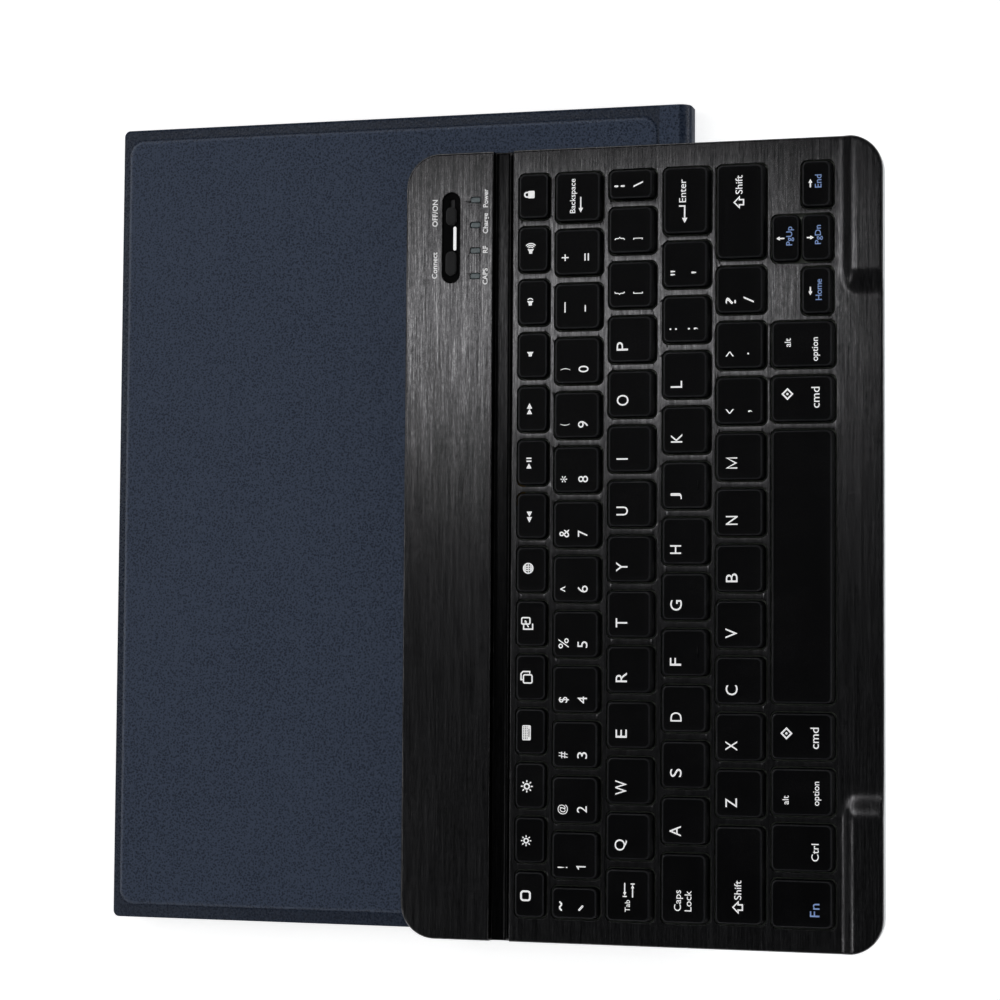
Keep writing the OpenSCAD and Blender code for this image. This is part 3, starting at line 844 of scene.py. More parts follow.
def well():
    """Black tub under the switch recess, with the knob's slot and the button's hole."""
    mb = MB()
    z1, z0 = DECK - 0.8, DECK - 1.6
    out = mb.rings([[(x, y, z0) for x, y in rr(11.1, 202.8, 18.5, 233.0, 3.4, 8)],
                    [(x, y, DECK - 1.02) for x, y in rr(11.1, 202.8, 18.5, 233.0, 3.4, 8)],
                    [(x, y, DECK - 1.02) for x, y in rr(11.95, 203.65, 17.65, 232.15, 2.83, 8)],
                    [(x, y, z1 + 0.10) for x, y in rr(11.98, 203.68, 17.62, 232.12, 2.80, 8)],
                    [(x, y, z1 + 0.03) for x, y in rr(12.1, 203.8, 17.5, 232.0, 2.68, 8)],
                    [(x, y, z1) for x, y in rr(12.3, 204.0, 17.3, 231.8, 2.48, 8)]])
    holes_t, holes_b = [], []
    for x0, y0, x1, y1, r in ((14.0, 221.6, 15.7, 230.2, 0.4), (12.8, 205.8, 16.8, 213.8, 1.9)):
        c = mb.rings([[(x, y, z1) for x, y in rr(x0, y0, x1, y1, r, 6)],
                      [(x, y, z0) for x, y in rr(x0, y0, x1, y1, r, 6)]])
        holes_t.append(c[0])
        holes_b.append(c[1])
    mb.fill(out[-1], holes_t, lambda x, y: z1)
    mb.fill(out[0], holes_b, lambda x, y: z0)
    ob = make("switch_well", mb, [M["well"]], (KX, KY, KZ), angle=40)
    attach(ob, "keyboard")
    # glowing white strip between the knob and the button: a painted reflection of the bright surroundings in the slot
    mb = MB()
    a = rr(15.35, 213.95, 16.3, 221.45, 0.44, 6)
    b = rr(15.42, 214.02, 16.23, 221.38, 0.38, 6)
    d = rr(15.52, 214.12, 16.13, 221.28, 0.28, 6)
    c = mb.rings([[(x, y, z1 - 0.3) for x, y in a], [(x, y, z1 + 0.08) for x, y in a], [(x, y, z1 + 0.14) for x, y in b],
                  [(x, y, z1 + 0.16) for x, y in d]])
    mb.face(c[0])
    mb.face(list(reversed(c[-1])))
    ob = make("painted_reflection_strip", mb, [M["reflection_glow"]], (KX, KY, KZ), angle=50)
    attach(ob, "keyboard")
    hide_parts("switch_bar")


well()


def pill(name, node, body, x0, y0, x1, y1, r, z0, z1, stem=None):
    """Domed pill with finger ridge edges."""
    mb = MB()
    prof = [(0, z0), (0, z1 - 0.34), (0.06, z1 - 0.2), (0.18, z1 - 0.09), (0.38, z1 - 0.02), (0.62, z1),
            (0.9, z1 + 0.0)]
    c = mb.rings([[(x, y, z) for x, y in rr(x0 + d, y0 + d, x1 - d, y1 - d, max(r - d, 0.2), 10)] for d, z in prof])
    mb.face(c[0])
    mb.face(list(reversed(c[-1])))
    if stem:
        sx0, sy0, sx1, sy1, sz0 = stem
        c = mb.rings([[(x, y, sz0) for x, y in rr(sx0, sy0, sx1, sy1, 0.15, 3)],
                      [(x, y, z0 + 0.05) for x, y in rr(sx0, sy0, sx1, sy1, 0.15, 3)]])
        mb.face(c[0])
        mb.face(list(reversed(c[-1])))
    ob = make(name, mb, [M["knob"]], (KX, KY, KZ), angle=50)
    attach(ob, body)
    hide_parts(node)


pill("switch_knob", "power_switch_knob", "power_knob", 13.1, 221.8, 16.5, 227.5, 1.68, 4.75, 5.85, (14.15, 222.0, 15.55, 227.3, 3.65))
pill("connect_button", "pairing_button", "pairing_key", 13.0, 206.0, 16.6, 213.6, 1.72, 3.65, 5.75)


def windows():
    mb = MB()
    for u in LED_U:
        prof = [(0.0, 3.2), (0.0, DECK - 0.16), (0.10, DECK - 0.09), (0.24, DECK - 0.06)]
        c = mb.rings([[(x, y, z) for x, y in rr(21.16 + d, u - 0.79 + d, 24.24 - d, u + 0.79 - d, max(0.55 - d, 0.2), 6)] for d, z in prof])
        mb.face(c[0])
        mb.face(list(reversed(c[-1])))
    ob = make("light_windows", mb, [M["window"]], (KX, KY, KZ), angle=50)
    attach(ob, "keyboard")
    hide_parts("status_windows")


windows()


# ---------------------------------------------------------------- bottom case
SCREWS = [(v, u) for v in (5, 144.6) for u in (12, 122.3, 232.6)]


def bottom_case():
    mb = MB()
    ex = sorted({T0 - 0.04, T0, T1, T1 + 0.04, *np.arange(14, 27, 5), *np.arange(42, 137, 8)})
    ey = [float(y) for y in np.arange(14, KB_L - 13, 8)]
    R, H = 10.7, DECK - DECK_T

    def rim(v):
        return DECK - GD - 0.8 if T0 - 0.02 < v < T1 + 0.02 else H

    def ring(d, z, r=None):
        return [(x, y, z) for x, y in rr(0.1 + d, 0.1 + d, KB_D - 0.1 - d, KB_L - 0.1 - d, r or max(R - d, 0.5), 14, ex, ey)]

    low = [(0.9, 0.0), (0.52, 0.07), (0.26, 0.22), (0.08, 0.46), (0.0, 0.85)]
    c = mb.rings([ring(d, z) for d, z in low])
    top_o = mb.ring([(x, y, rim(x)) for x, y, _ in ring(0.0, 0)])
    mb.bridge(c[-1], top_o)
    top_i = mb.ring([(x, y, rim(x)) for x, y, _ in ring(1.3, 0)])
    mb.bridge(top_o, top_i)
    floor_i = mb.ring(ring(1.3, 0.8))
    mb.bridge(top_i, floor_i)
    hb, ht = [], []
    for v, u in SCREWS:
        def circ(r, z):
            return [(v + r * math.cos(a), u + r * math.sin(a), z) for a in np.linspace(0, 2 * math.pi, 28, endpoint=False)]
        k = mb.rings([circ(1.82, 0.0), circ(1.74, 0.03), circ(1.7, 0.1), circ(1.7, 0.45), circ(0.9, 0.45), circ(0.9, 0.8)])
        hb.append(k[0])
        ht.append(k[-1])
    mb.fill(c[0], hb, lambda x, y: 0.0)
    mb.fill(floor_i, ht, lambda x, y: 0.8)
    ob = make("case_shell", mb, [M["case"]], (KX, KY, KZ), angle=40, weighted=False)
    mbc = MB()
    a = [(x, 0, z) for x, z in rr(15.5, 1.3, 23.5, 4.1, 1.2, 8)]
    r = mbc.rings([[(x, KB_L - 3, z) for x, _, z in a], [(x, KB_L + 1, z) for x, _, z in a]])
    mbc.face(r[0])
    mbc.face(list(reversed(r[-1])))
    tool = make("cutter", mbc, [], (KX, KY, KZ), weighted=False)
    cut(ob, [tool])
    me = ob.data
    me.materials.clear()
    me.materials.append(M["case"])
    bpy.data.objects.remove(ob)
    ob = tidy("keyboard_case", me, 40)
    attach(ob, "keyboard")
    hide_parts("keyboard_bottom_case")


bottom_case()


def feet():
    lo, _ = box_mm("keyboard_feet")
    mb = MB()
    for v in (14, 72, 134):
        for u in (14, 230.6):
            prof = [(4.0, 0.0), (4.0, -0.22), (3.93, -0.36), (3.78, -0.45), (3.5, -0.5), (2.6, -0.5), (2.4, -0.46), (1.2, -0.45)]
            c = mb.rings([[(v + r * math.cos(a), u + r * math.sin(a), z) for a in np.linspace(0, 2 * math.pi, 40, endpoint=False)] for r, z in prof])
            mb.face(c[0])
            mb.face(list(reversed(c[-1])))
    ob = make("rubber_feet", mb, [M["foot"]], (KX, KY, KZ), angle=50)
    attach(ob, "keyboard")
    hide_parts("keyboard_feet")


feet()


def screws():
    mb = MB()
    for v, u in SCREWS:
        n = 32
        ang = np.linspace(0, 2 * math.pi, n, endpoint=False)

        def circ(r, z):
            return [(v + r * math.cos(a), u + r * math.sin(a), z) for a in ang]

        star = [(v + (0.62 if k % 2 else 0.30) * math.cos(a), u + (0.62 if k % 2 else 0.30) * math.sin(a), 0.0)
                for k, a in enumerate(np.linspace(0, 2 * math.pi, n, endpoint=False) // (2 * math.pi / 8) * (2 * math.pi / 8))]
        cross = []
        for a in ang:
            c4 = abs(math.cos(2 * a))
            cross.append(0.26 + 0.5 * max(c4 - 0.55, 0) / 0.45)
        slot_t = [(v + r * math.cos(a), u + r * math.sin(a), 0.05) for r, a in zip(cross, ang)]
        slot_b = [(v + r * 0.8 * math.cos(a), u + r * 0.8 * math.sin(a), 0.24) for r, a in zip(cross, ang)]
        rings = [slot_b, slot_t, circ(1.32, 0.05), circ(1.44, 0.09), circ(1.5, 0.18), circ(1.5, 0.45), circ(0.62, 0.45), circ(0.62, 3.6), circ(0.4, 3.8)]
        c = mb.rings(rings)
        mb.face(c[0])
        mb.face(list(reversed(c[-1])))
    ob = make("case_screws", mb, [M["steel"]], (KX, KY, KZ), angle=40)
    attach(ob, "keyboard")
    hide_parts("keyboard_screws")


screws()

# ---------------------------------------------------------------- keycaps
BODY_OF = {n: NODES[n]["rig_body"] for n in KEYS}


def keycap(mb, c):
    bx0, by0, bx1, by1, fx0, fy0, fx1, fy1, z0, z1 = c
    zs = DECK + 0.2

    def lerp(t):
        return (bx0 + (fx0 - bx0) * t, by0 + (fy0 - by0) * t, bx1 + (fx1 - bx1) * t, by1 + (fy1 - by1) * t)

    def R(x0, y0, x1, y1, d, r, z):
        return [(x, y, z) for x, y in rr(x0 + d, y0 + d, x1 - d, y1 - d, r, 8)]

    rings = [R(bx0, by0, bx1, by1, 1.0, 0.9, z1 - 1.2), R(bx0, by0, bx1, by1, 1.0, 0.9, z0),
             R(bx0, by0, bx1, by1, 0.10, 1.7, z0), R(bx0, by0, bx1, by1, 0.0, 1.8, z0 + 0.1),
             R(bx0, by0, bx1, by1, 0.0, 1.8, zs)]
    for t in (0.25, 0.5, 0.7):
        rings.append(R(*lerp(t), 0.0, 1.8 - 0.15 * t, zs + (z1 - zs) * t))
    for t, d, dz in ((0.82, 0.0, 0.30), (0.91, 0.02, 0.175), (0.97, 0.06, 0.09), (1.0, 0.13, 0.035), (1.0, 0.24, 0.008), (1.0, 0.38, 0.0)):
        rings.append(R(*lerp(t), d, 1.62 - d * 0.7, z1 - dz))
    for d, dz in ((0.8, 0.012), (1.4, 0.034), (2.1, 0.05)):
        rings.append(R(fx0, fy0, fx1, fy1, d, max(1.5 - d * 0.55, 0.4), z1 - dz))
    k = [mb.ring(r) for r in rings]
    # bands 9 to 12, the rounded rim of the top face, take the brighter rim material: painted highlight
    for i, (a, b) in enumerate(zip(k, k[1:])):
        mb.bridge(a, b, mat=1 if 9 <= i <= 12 else 0)
    mb.face(k[0])
    mb.face(list(reversed(k[-1])))


# ---------------------------------------------------------------- legends
def text2d(s, cap, bold=0.0, spacing=1.0, cache={}):
    """Filled outline of a word at a cap height in mm: (points, faces, width)."""
    key = (s, round(cap, 3), round(bold, 3), spacing)
    if key in cache:
        return cache[key]
    if "H" not in cache and s != "H":
        cache["H"] = None
        p, _, _ = text2d("H", 1.0)
        cache["H"] = 1.0
    cu = bpy.data.curves.new("t", "FONT")
    cu.body = s
    cu.size = 1.0
    cu.resolution_u = 4
    cu.space_character = spacing
    unit = cache.get("unit", 0.729)
    cu.offset = bold / (cap / unit)
    ob = bpy.data.objects.new("t", cu)
    SCENE.collection.objects.link(ob)
    bpy.context.view_layer.update()
    me = bpy.data.meshes.new_from_object(ob.evaluated_get(bpy.context.evaluated_depsgraph_get()))
    bpy.data.objects.remove(ob)
    co = np.array([v.co[:2] for v in me.vertices])
    faces = [list(p.vertices) for p in me.polygons]
    bpy.data.meshes.remove(me)
    if s == "H" and "unit" not in cache:
        cache["unit"] = co[:, 1].max() - co[:, 1].min()
        return co, faces, 0
    k = cap / cache["unit"]
    # merge points that coincide, so the outline's edges pair up
    ids, keep, remap = {}, [], []
    for c in co:
        q = tuple(np.round(c, 5))
        if q not in ids:
            ids[q] = len(keep)
            keep.append(c)
        remap.append(ids[q])
    faces = [[remap[i] for i in f] for f in faces]
    faces = [f for f in faces if len(set(f)) == len(f)]
    co = np.array(keep) * k
    co[:, 0] -= co[:, 0].min()
    cache[key] = (co, faces, co[:, 0].max())
    return cache[key]


text2d("A", 1.0)


def stroke(points, w, closed=False):
    """A line of width w with mitred joins and round ends: (points, faces)."""
    P = [np.array(p, float) for p in points]
    n = len(P)
    L, R = [], []
    for i in range(n):
        a = P[i] - P[i - 1] if (closed or i > 0) else P[1] - P[0]
        b = P[(i + 1) % n] - P[i] if (closed or i < n - 1) else a
        a, b = a / np.linalg.norm(a), b / np.linalg.norm(b)
        na, nb = np.array((-a[1], a[0])), np.array((-b[1], b[0]))
        m = na + nb
        m = m / max(np.linalg.norm(m), 1e-6)
        k = w / 2 / max(float(m @ na), 0.45)
        L.append(P[i] + m * k)
        R.append(P[i] - m * k)
    pts, faces = [], []
    for l, r in zip(L, R):
        pts += [l, r]
    for i in range(n if closed else n - 1):
        j = (i + 1) % n
        faces.append([2 * i, 2 * i + 1, 2 * j + 1, 2 * j])
    if not closed:
        for i, s in ((0, -1), (n - 1, 1)):
            d = (P[1] - P[0]) if i == 0 else (P[-1] - P[-2])
            d = d / np.linalg.norm(d) * s
            nrm = np.array((-d[1], d[0]))
            fan = []
            for a in (30, 60, 90, 120, 150):
                a = math.radians(a)
                pts.append(P[i] + w / 2 * (math.cos(a) * nrm * (-1 if s < 0 else 1) + math.sin(a) * d))
                fan.append(len(pts) - 1)
            faces.append([2 * i] + fan + [2 * i + 1])
    return np.array(pts), faces


def poly(points):
    return np.array(points, float), [list(range(len(points)))]


def disc(cx, cy, r, n=18):
    return poly([(cx + r * math.cos(a), cy + r * math.sin(a)) for a in np.linspace(0, 2 * math.pi, n, endpoint=False)])


def ring_path(cx, cy, rx, ry=None, n=28, a0=0, a1=360):
    ry = ry or rx
    full = abs(a1 - a0) >= 360
    return [(cx + rx * math.cos(math.radians(a)), cy + ry * math.sin(math.radians(a)))
            for a in np.linspace(a0, a1, n + (0 if full else 1), endpoint=not full)]


def sq(x0, y0, x1, y1, r, n=4):
    return rr(x0, y0, x1, y1, r, n)


def icon(name):
    """Generic symbols, about 3.6 mm, as (points, faces) pairs around their middle."""
    w = 0.42
    if name == "home_square":
        return [stroke(sq(-1.36, -1.4, 1.36, 1.4, 0.75), 0.58, True)]
    if name in ("dim", "bright"):
        k = 1.0 if name == "dim" else 1.14
        out = [stroke(ring_path(0, 0, 0.68 * k), 0.42 * k, True)]
        for i in range(8):
            a = math.radians(45 * i)
            c, s = math.cos(a), math.sin(a)
            out.append(stroke([(1.24 * k * c, 1.24 * k * s), (1.5 * k * c, 1.5 * k * s)], 0.36 * k))
        return out
    if name == "keyboard":
        return [poly(sq(-2.3, -1.35, 2.3, 1.35, 0.4))]
    if name == "keyboard_dots":
        out = []
        for r, y in enumerate((0.88, 0.34, -0.20)):
            for i in range(8):
                out.append(poly([(-1.98 + i * 0.52, y - 0.15), (-1.98 + i * 0.52 + 0.3, y - 0.15),
                                 (-1.98 + i * 0.52 + 0.3, y + 0.15), (-1.98 + i * 0.52, y + 0.15)]))
        out.append(poly([(-1.3, -0.93), (1.3, -0.93), (1.3, -0.65), (-1.3, -0.65)]))
        return out
    if name == "copy":
        return [stroke(sq(-1.75, -1.75, 0.75, 1.0, 0.45), w, True),
                stroke([(-0.75, 1.45), (-0.75, 1.75), (1.1, 1.75), (1.75, 1.1), (1.75, -1.0), (1.2, -1.0)], w)]
    if name == "paste":
        return [stroke([(-0.2, -1.75), (-1.75, -1.75), (-1.75, 1.1), (-0.6, 1.1)], w),
                stroke(sq(-0.2, -0.9, 1.75, 1.75, 0.4), w, True),
                stroke([(-1.1, -0.4), (0.5, 0.45)], 0.34), poly([(1.05, 0.75), (0.22, 0.86), (0.62, 0.05)])]
    if name == "globe":
        return [stroke(ring_path(0, 0, 1.5), 0.36, True), stroke(ring_path(0, 0, 0.68, 1.4), 0.28, True),
                stroke([(0, -1.35), (0, 1.35)], 0.26), stroke([(-1.35, 0), (1.35, 0)], 0.26),
                stroke([(-1.1, 0.78), (1.1, 0.78)], 0.22), stroke([(-1.1, -0.78), (1.1, -0.78)], 0.22)]
    if name == "prev":
        return [poly([(-0.05, -0.85), (-0.05, 0.85), (-1.75, 0)]), poly([(1.65, -0.85), (1.65, 0.85), (-0.05 + 0.02, 0)])]
    if name == "next":
        return [poly([(-1.65, -0.85), (0.03, 0), (-1.65, 0.85)]), poly([(0.05, -0.85), (1.75, 0), (0.05, 0.85)])]
    if name == "play":
        return [poly([(-1.75, -0.85), (-0.15, 0), (-1.75, 0.85)]), poly([(0.3, -0.8), (0.72, -0.8), (0.72, 0.8), (0.3, 0.8)]),
                poly([(1.2, -0.8), (1.62, -0.8), (1.62, 0.8), (1.2, 0.8)])]
    if name.startswith("speaker"):
        k = {"speaker0": 0.0, "speaker1": -0.35, "speaker3": -0.95}[name]
        out = [poly([(k - 0.85, -0.5), (k - 0.2, -0.5), (k + 0.55, -1.05), (k + 0.55, 1.05), (k - 0.2, 0.5), (k - 0.85, 0.5)])]
        rs = {"speaker0": (), "speaker1": (0.95,), "speaker3": (0.85, 1.4, 1.95)}[name]
        out += [stroke(ring_path(k + 0.15 + 0.1, 0, r + 0.12, n=10, a0=-44, a1=44), 0.32) for r in rs]
        return out
    if name == "lock":
        return [poly(sq(-1.15, -1.55, 1.15, 0.5, 0.25)), stroke([(-0.72, 0.35), (-0.72, 0.85), *ring_path(0, 0.85, 0.72, 0.75, 10, 180, 0)[1:], (0.72, 0.35)], 0.46)]
    if name == "diamond":
        return [stroke([(0, -1.5), (1.5, 0), (0, 1.5), (-1.5, 0)], 0.48, True), disc(0, 0, 0.36)]
    if name == "tab":
        return [stroke([(-1.9, 0.72), (-1.9, 1.72)], 0.36), stroke([(-0.6, 1.22), (2.0, 1.22)], 0.38),
                poly([(-1.72, 1.22), (-0.6, 0.72), (-0.6, 1.72)]),
                stroke([(1.9, -0.72), (1.9, -1.72)], 0.36), stroke([(-2.0, -1.22), (0.6, -1.22)], 0.38),
                poly([(1.72, -1.22), (0.6, -1.72), (0.6, -0.72)])]
    if name == "shift":
        return [stroke([(0, 1.45), (1.6, -0.1), (0.78, -0.1), (0.78, -1.4), (-0.78, -1.4), (-0.78, -0.1), (-1.6, -0.1)], 0.42, True)]
    if name == "enter":
        return [stroke([(2.55, 1.25), (2.55, -0.35), (-1.2, -0.35)], 0.44), poly([(-2.7, -0.35), (-1.1, -1.2), (-1.1, 0.5)])]
    if name == "arrow_long":
        return [stroke([(-0.9, 0), (2.35, 0)], 0.42), poly([(-2.35, 0), (-0.9, -0.72), (-0.9, 0.72)])]
    if name in ("left", "right", "up", "down"):
        pts = stroke([(-0.2, 0), (1.15, 0)], 0.42), poly([(-1.25, 0), (-0.1, -0.62), (-0.1, 0.62)])
        turn = {"left": 0, "right": 180, "up": -90, "down": 90}[name]
        a = math.radians(turn)
        rot = np.array([[math.cos(a), -math.sin(a)], [math.sin(a), math.cos(a)]])
        return [(p @ rot.T, f) for p, f in pts]
    if name == "broken_bar":
        return [stroke([(0, 0.62), (0, 1.38)], 0.56), stroke([(0, -0.62), (0, -1.38)], 0.56)]
    if name == "grave":
        return [stroke([(-0.62, 0.5), (0.5, -0.5)], 0.62)]
    if name == "tilde":
        return [stroke([(-1.2, -0.22), (-0.75, 0.22), (-0.3, 0.28), (0.3, -0.22), (0.75, -0.26), (1.2, 0.2)], 0.5)]
    raise KeyError(name)


class Ink:
    """Printed marks: thin closed solids sunk halfway into the surface."""

    def __init__(self):
        self.mb = MB()
        self.k = 0

    def put(self, pts, faces, cv, cu, z, mat=0, lift=0.0):
        """Text x runs along +Y and text y along -X, centred on keyboard point (cv, cu)."""
        self.k += 1
        z1 = z + 0.018 + lift + 0.0012 * (self.k % 6)
        z0 = z - 0.06
        t, b = [], []
        for x, y in pts:
            t.append(self.mb.add((cv - y, cu + x, z1)))
            b.append(self.mb.add((cv - y, cu + x, z0)))
        count = {}
        for f in faces:
            self.mb.face([t[i] for i in f], mat)
            self.mb.face([b[i] for i in reversed(f)], mat)
            for i, j in zip(f, f[1:] + f[:1]):
                count[(i, j)] = count.get((i, j), 0) + 1
        for (i, j), c in count.items():
            if (j, i) not in count:
                self.mb.face([t[j], t[i], b[i], b[j]], mat)

    def text(self, s, cap, cv, cu, z, mat=0, bold=0.05, align="center", spacing=1.0, mid=None, low=1.0):
        """Centre of the cap height at cv. align says what cu is: the word's start, middle or end."""
        pts, faces, width = text2d(s, cap, bold, spacing)
        shift = {"start": 0, "center": -width / 2, "end": -width}[align]
        y0 = cap / 2 if mid is None else mid
        self.put((pts + np.array([shift, -y0])) * np.array([1.0, low]), faces, cv, cu, z, mat)

    def icon(self, name, cv, cu, z, mat=0, lift=0.0):
        for pts, faces in icon(name):
            self.put(pts, faces, cv, cu, z, mat, lift)


def face_of(c):
    return c[4], c[5], c[6], c[7], c[9] - 0.05


def at(c, depth, length):
    v0, u0, v1, u1, z = face_of(c)
    return v0 + depth * (v1 - v0), u0 + length * (u1 - u0), z


# where each printed character sits on its key, mm: middle from the face's back edge and Fn-end edge, height, width
FIT = {
    '!': (3.12, 3.12, 3.2, 0.4), '1': (8.9, 3.12, 3.05, 1.1), '@': (3.12, 3.88, 3.2, 3.0), '2': (9.12, 3.98, 3.1, 2.0), '#': (3.18, 3.6, 2.8, 1.95),
    '3': (9.12, 3.58, 3.1, 2.0), '$': (3.25, 3.6, 3.25, 1.75), '4': (9.08, 3.58, 3.0, 2.1), '%': (3.1, 4.0, 3.25, 3.15), '5': (9.05, 3.68, 3.15, 2.0),
    '^': (2.75, 3.8, 1.55, 1.75), '6': (9.02, 3.82, 3.2, 2.1), '&': (3.12, 4.08, 3.1, 2.5), '7': (8.95, 4.0, 3.05, 1.95), '*': (2.88, 3.9, 2.2, 1.95),
    '8': (8.98, 3.88, 3.1, 2.0), '(': (3.15, 3.9, 3.05, 0.55), '9': (8.85, 3.9, 3.15, 2.05), ')': (3.18, 4.18, 3.1, 0.6), '0': (8.93, 4.15, 3.2, 2.05),
    '_': (2.98, 6.52, 0.4, 3.3), '-': (9.38, 6.08, 0.4, 2.1), '+': (2.92, 5.15, 2.2, 2.05), '=': (9.75, 5.15, 1.45, 2.25), 'Q': (4.3, 4.18, 3.85, 3.4),
    'W': (4.3, 4.68, 3.55, 4.4), 'E': (4.28, 4.18, 3.5, 2.5), 'R': (4.23, 4.43, 3.5, 3.0), 'T': (4.22, 4.15, 3.6, 2.75), 'Y': (4.25, 4.38, 3.55, 2.9),
    'U': (4.28, 4.62, 3.6, 2.7), 'I': (4.2, 3.7, 3.55, 0.45), 'O': (4.28, 4.88, 3.7, 3.3), 'P': (4.1, 4.65, 3.55, 2.65), '{': (3.18, 4.2, 3.2, 0.95),
    '[': (8.98, 4.23, 3.0, 0.6), '}': (3.15, 4.3, 3.15, 0.95), ']': (8.9, 4.05, 2.95, 0.55), 'A': (4.08, 3.75, 3.5, 3.15), 'S': (4.2, 4.33, 3.55, 2.5),
    'D': (4.2, 4.28, 3.45, 2.8), 'F': (4.0, 4.0, 3.45, 2.35), 'G': (4.12, 4.18, 3.6, 3.2), 'H': (3.92, 4.2, 3.4, 2.65), 'J': (4.05, 3.48, 3.45, 1.9),
    'K': (4.12, 4.25, 3.5, 2.65), 'L': (4.0, 3.82, 3.55, 2.1), ':': (2.95, 3.85, 2.35, 0.55), ';': (9.05, 3.88, 3.15, 0.6), '"': (2.78, 4.15, 1.4, 1.45),
    "'": (9.3, 4.15, 1.45, 0.55), 'Z': (4.62, 4.05, 3.5, 2.75), 'X': (4.62, 4.23, 3.6, 2.9), 'C': (4.7, 3.98, 3.65, 3.0), 'V': (4.58, 4.18, 3.6, 3.0),
    'B': (4.65, 4.0, 3.55, 2.65), 'N': (4.62, 4.43, 3.6, 2.7), 'M': (4.5, 4.9, 3.65, 3.45), '<': (3.92, 3.65, 2.6, 1.35), ',': (10.18, 3.63, 1.3, 0.6),
    '>': (3.9, 4.2, 2.55, 1.45), '.': (9.55, 4.23, 0.55, 0.6), '?': (4.18, 3.53, 3.2, 2.0), '/': (9.68, 3.75, 3.1, 1.95),
}


def glyph(ink, ch, c, place=None):
    v0, u0, v1, u1, z = face_of(c)
    dv, du, high, wide = place or FIT[ch]
    if ch in "-_":
        pts, faces = stroke([(-wide / 2, 0), (wide / 2, 0)], high)
    elif ch == "1":
        pts, faces = stroke([(-0.42, 0.85), (0.30, 1.32), (0.30, -1.5)], 0.44)
    elif ch == "M":
        w, h = wide / 2 - 0.21, high / 2
        pts, faces = stroke([(-w, -h), (-w, h), (0, -h + 0.3), (w, h), (w, -h)], 0.44)
    else:
        pts, faces, _ = text2d(ch, 3.4, 0.0)
    pts = np.asarray(pts, float)
    lo, hi = pts.min(0), pts.max(0)
    pts = (pts - (lo + hi) / 2) * np.array([wide / (hi[0] - lo[0]), high / (hi[1] - lo[1])])
    ink.put(pts, faces, v0 + dv, u0 + du, z)


# how far the printed pictures and words sit from the plain grid, mm
FN_SHIFT = [(-0.58, -0.45), (-0.50, -0.25), (-0.38, -0.23), (-0.58, -0.42), (-0.68, 0.02), (-0.60, 0.0), (-0.37, 0.38),
            (-0.10, -0.32), (-0.35, -0.17), (-0.27, 0.0), (-0.15, 0.55), (-0.25, 0.20), (-0.20, 0.40), (-0.63, 0.50)]
SHIFT = {"key_backslash": (-0.50, -0.17), "key_backspace": (-0.57, -0.20), "key_caps_lock": (-0.20, 0.20),
         "key_command_left": (-0.16, -0.56), "key_command_right": (0.05, -0.42), "key_ctrl": (-0.12, -0.35),
         "key_end": (0.13, -0.07), "key_enter": (-0.10, -0.40), "key_fn": (-0.05, 0.30), "key_grave": (-0.58, -0.65),
         "key_home": (0.22, -0.40), "key_option_left": (-0.20, -0.70), "key_option_right": (-0.15, -0.45),
         "key_page_up": (-0.45, -0.10), "key_page_down": (-0.20, -0.10), "key_shift_left": (-0.18, -0.45),
         "key_shift_right": (-0.48, -0.38), "key_tab": (-0.22, -0.10)}
FN_ICONS = ["home_square", "dim", "bright", "keyboard", "copy", "paste", "globe", "prev", "play", "next",
            "speaker0", "speaker1", "speaker3", "lock"]
NUM = list("1234567890-=")
NUM_UP = list("!@#$%^&*()_+")
UPPER = list("QWERTYUIOP[]")
UPPER_UP = {"[": "{", "]": "}"}
HOME = list("ASDFGHJKL;'")
HOME_UP = {";": ":", "'": '"'}
LOWER = list("ZXCVBNM,./")
LOWER_UP = {",": "<", ".": ">", "/": "?"}


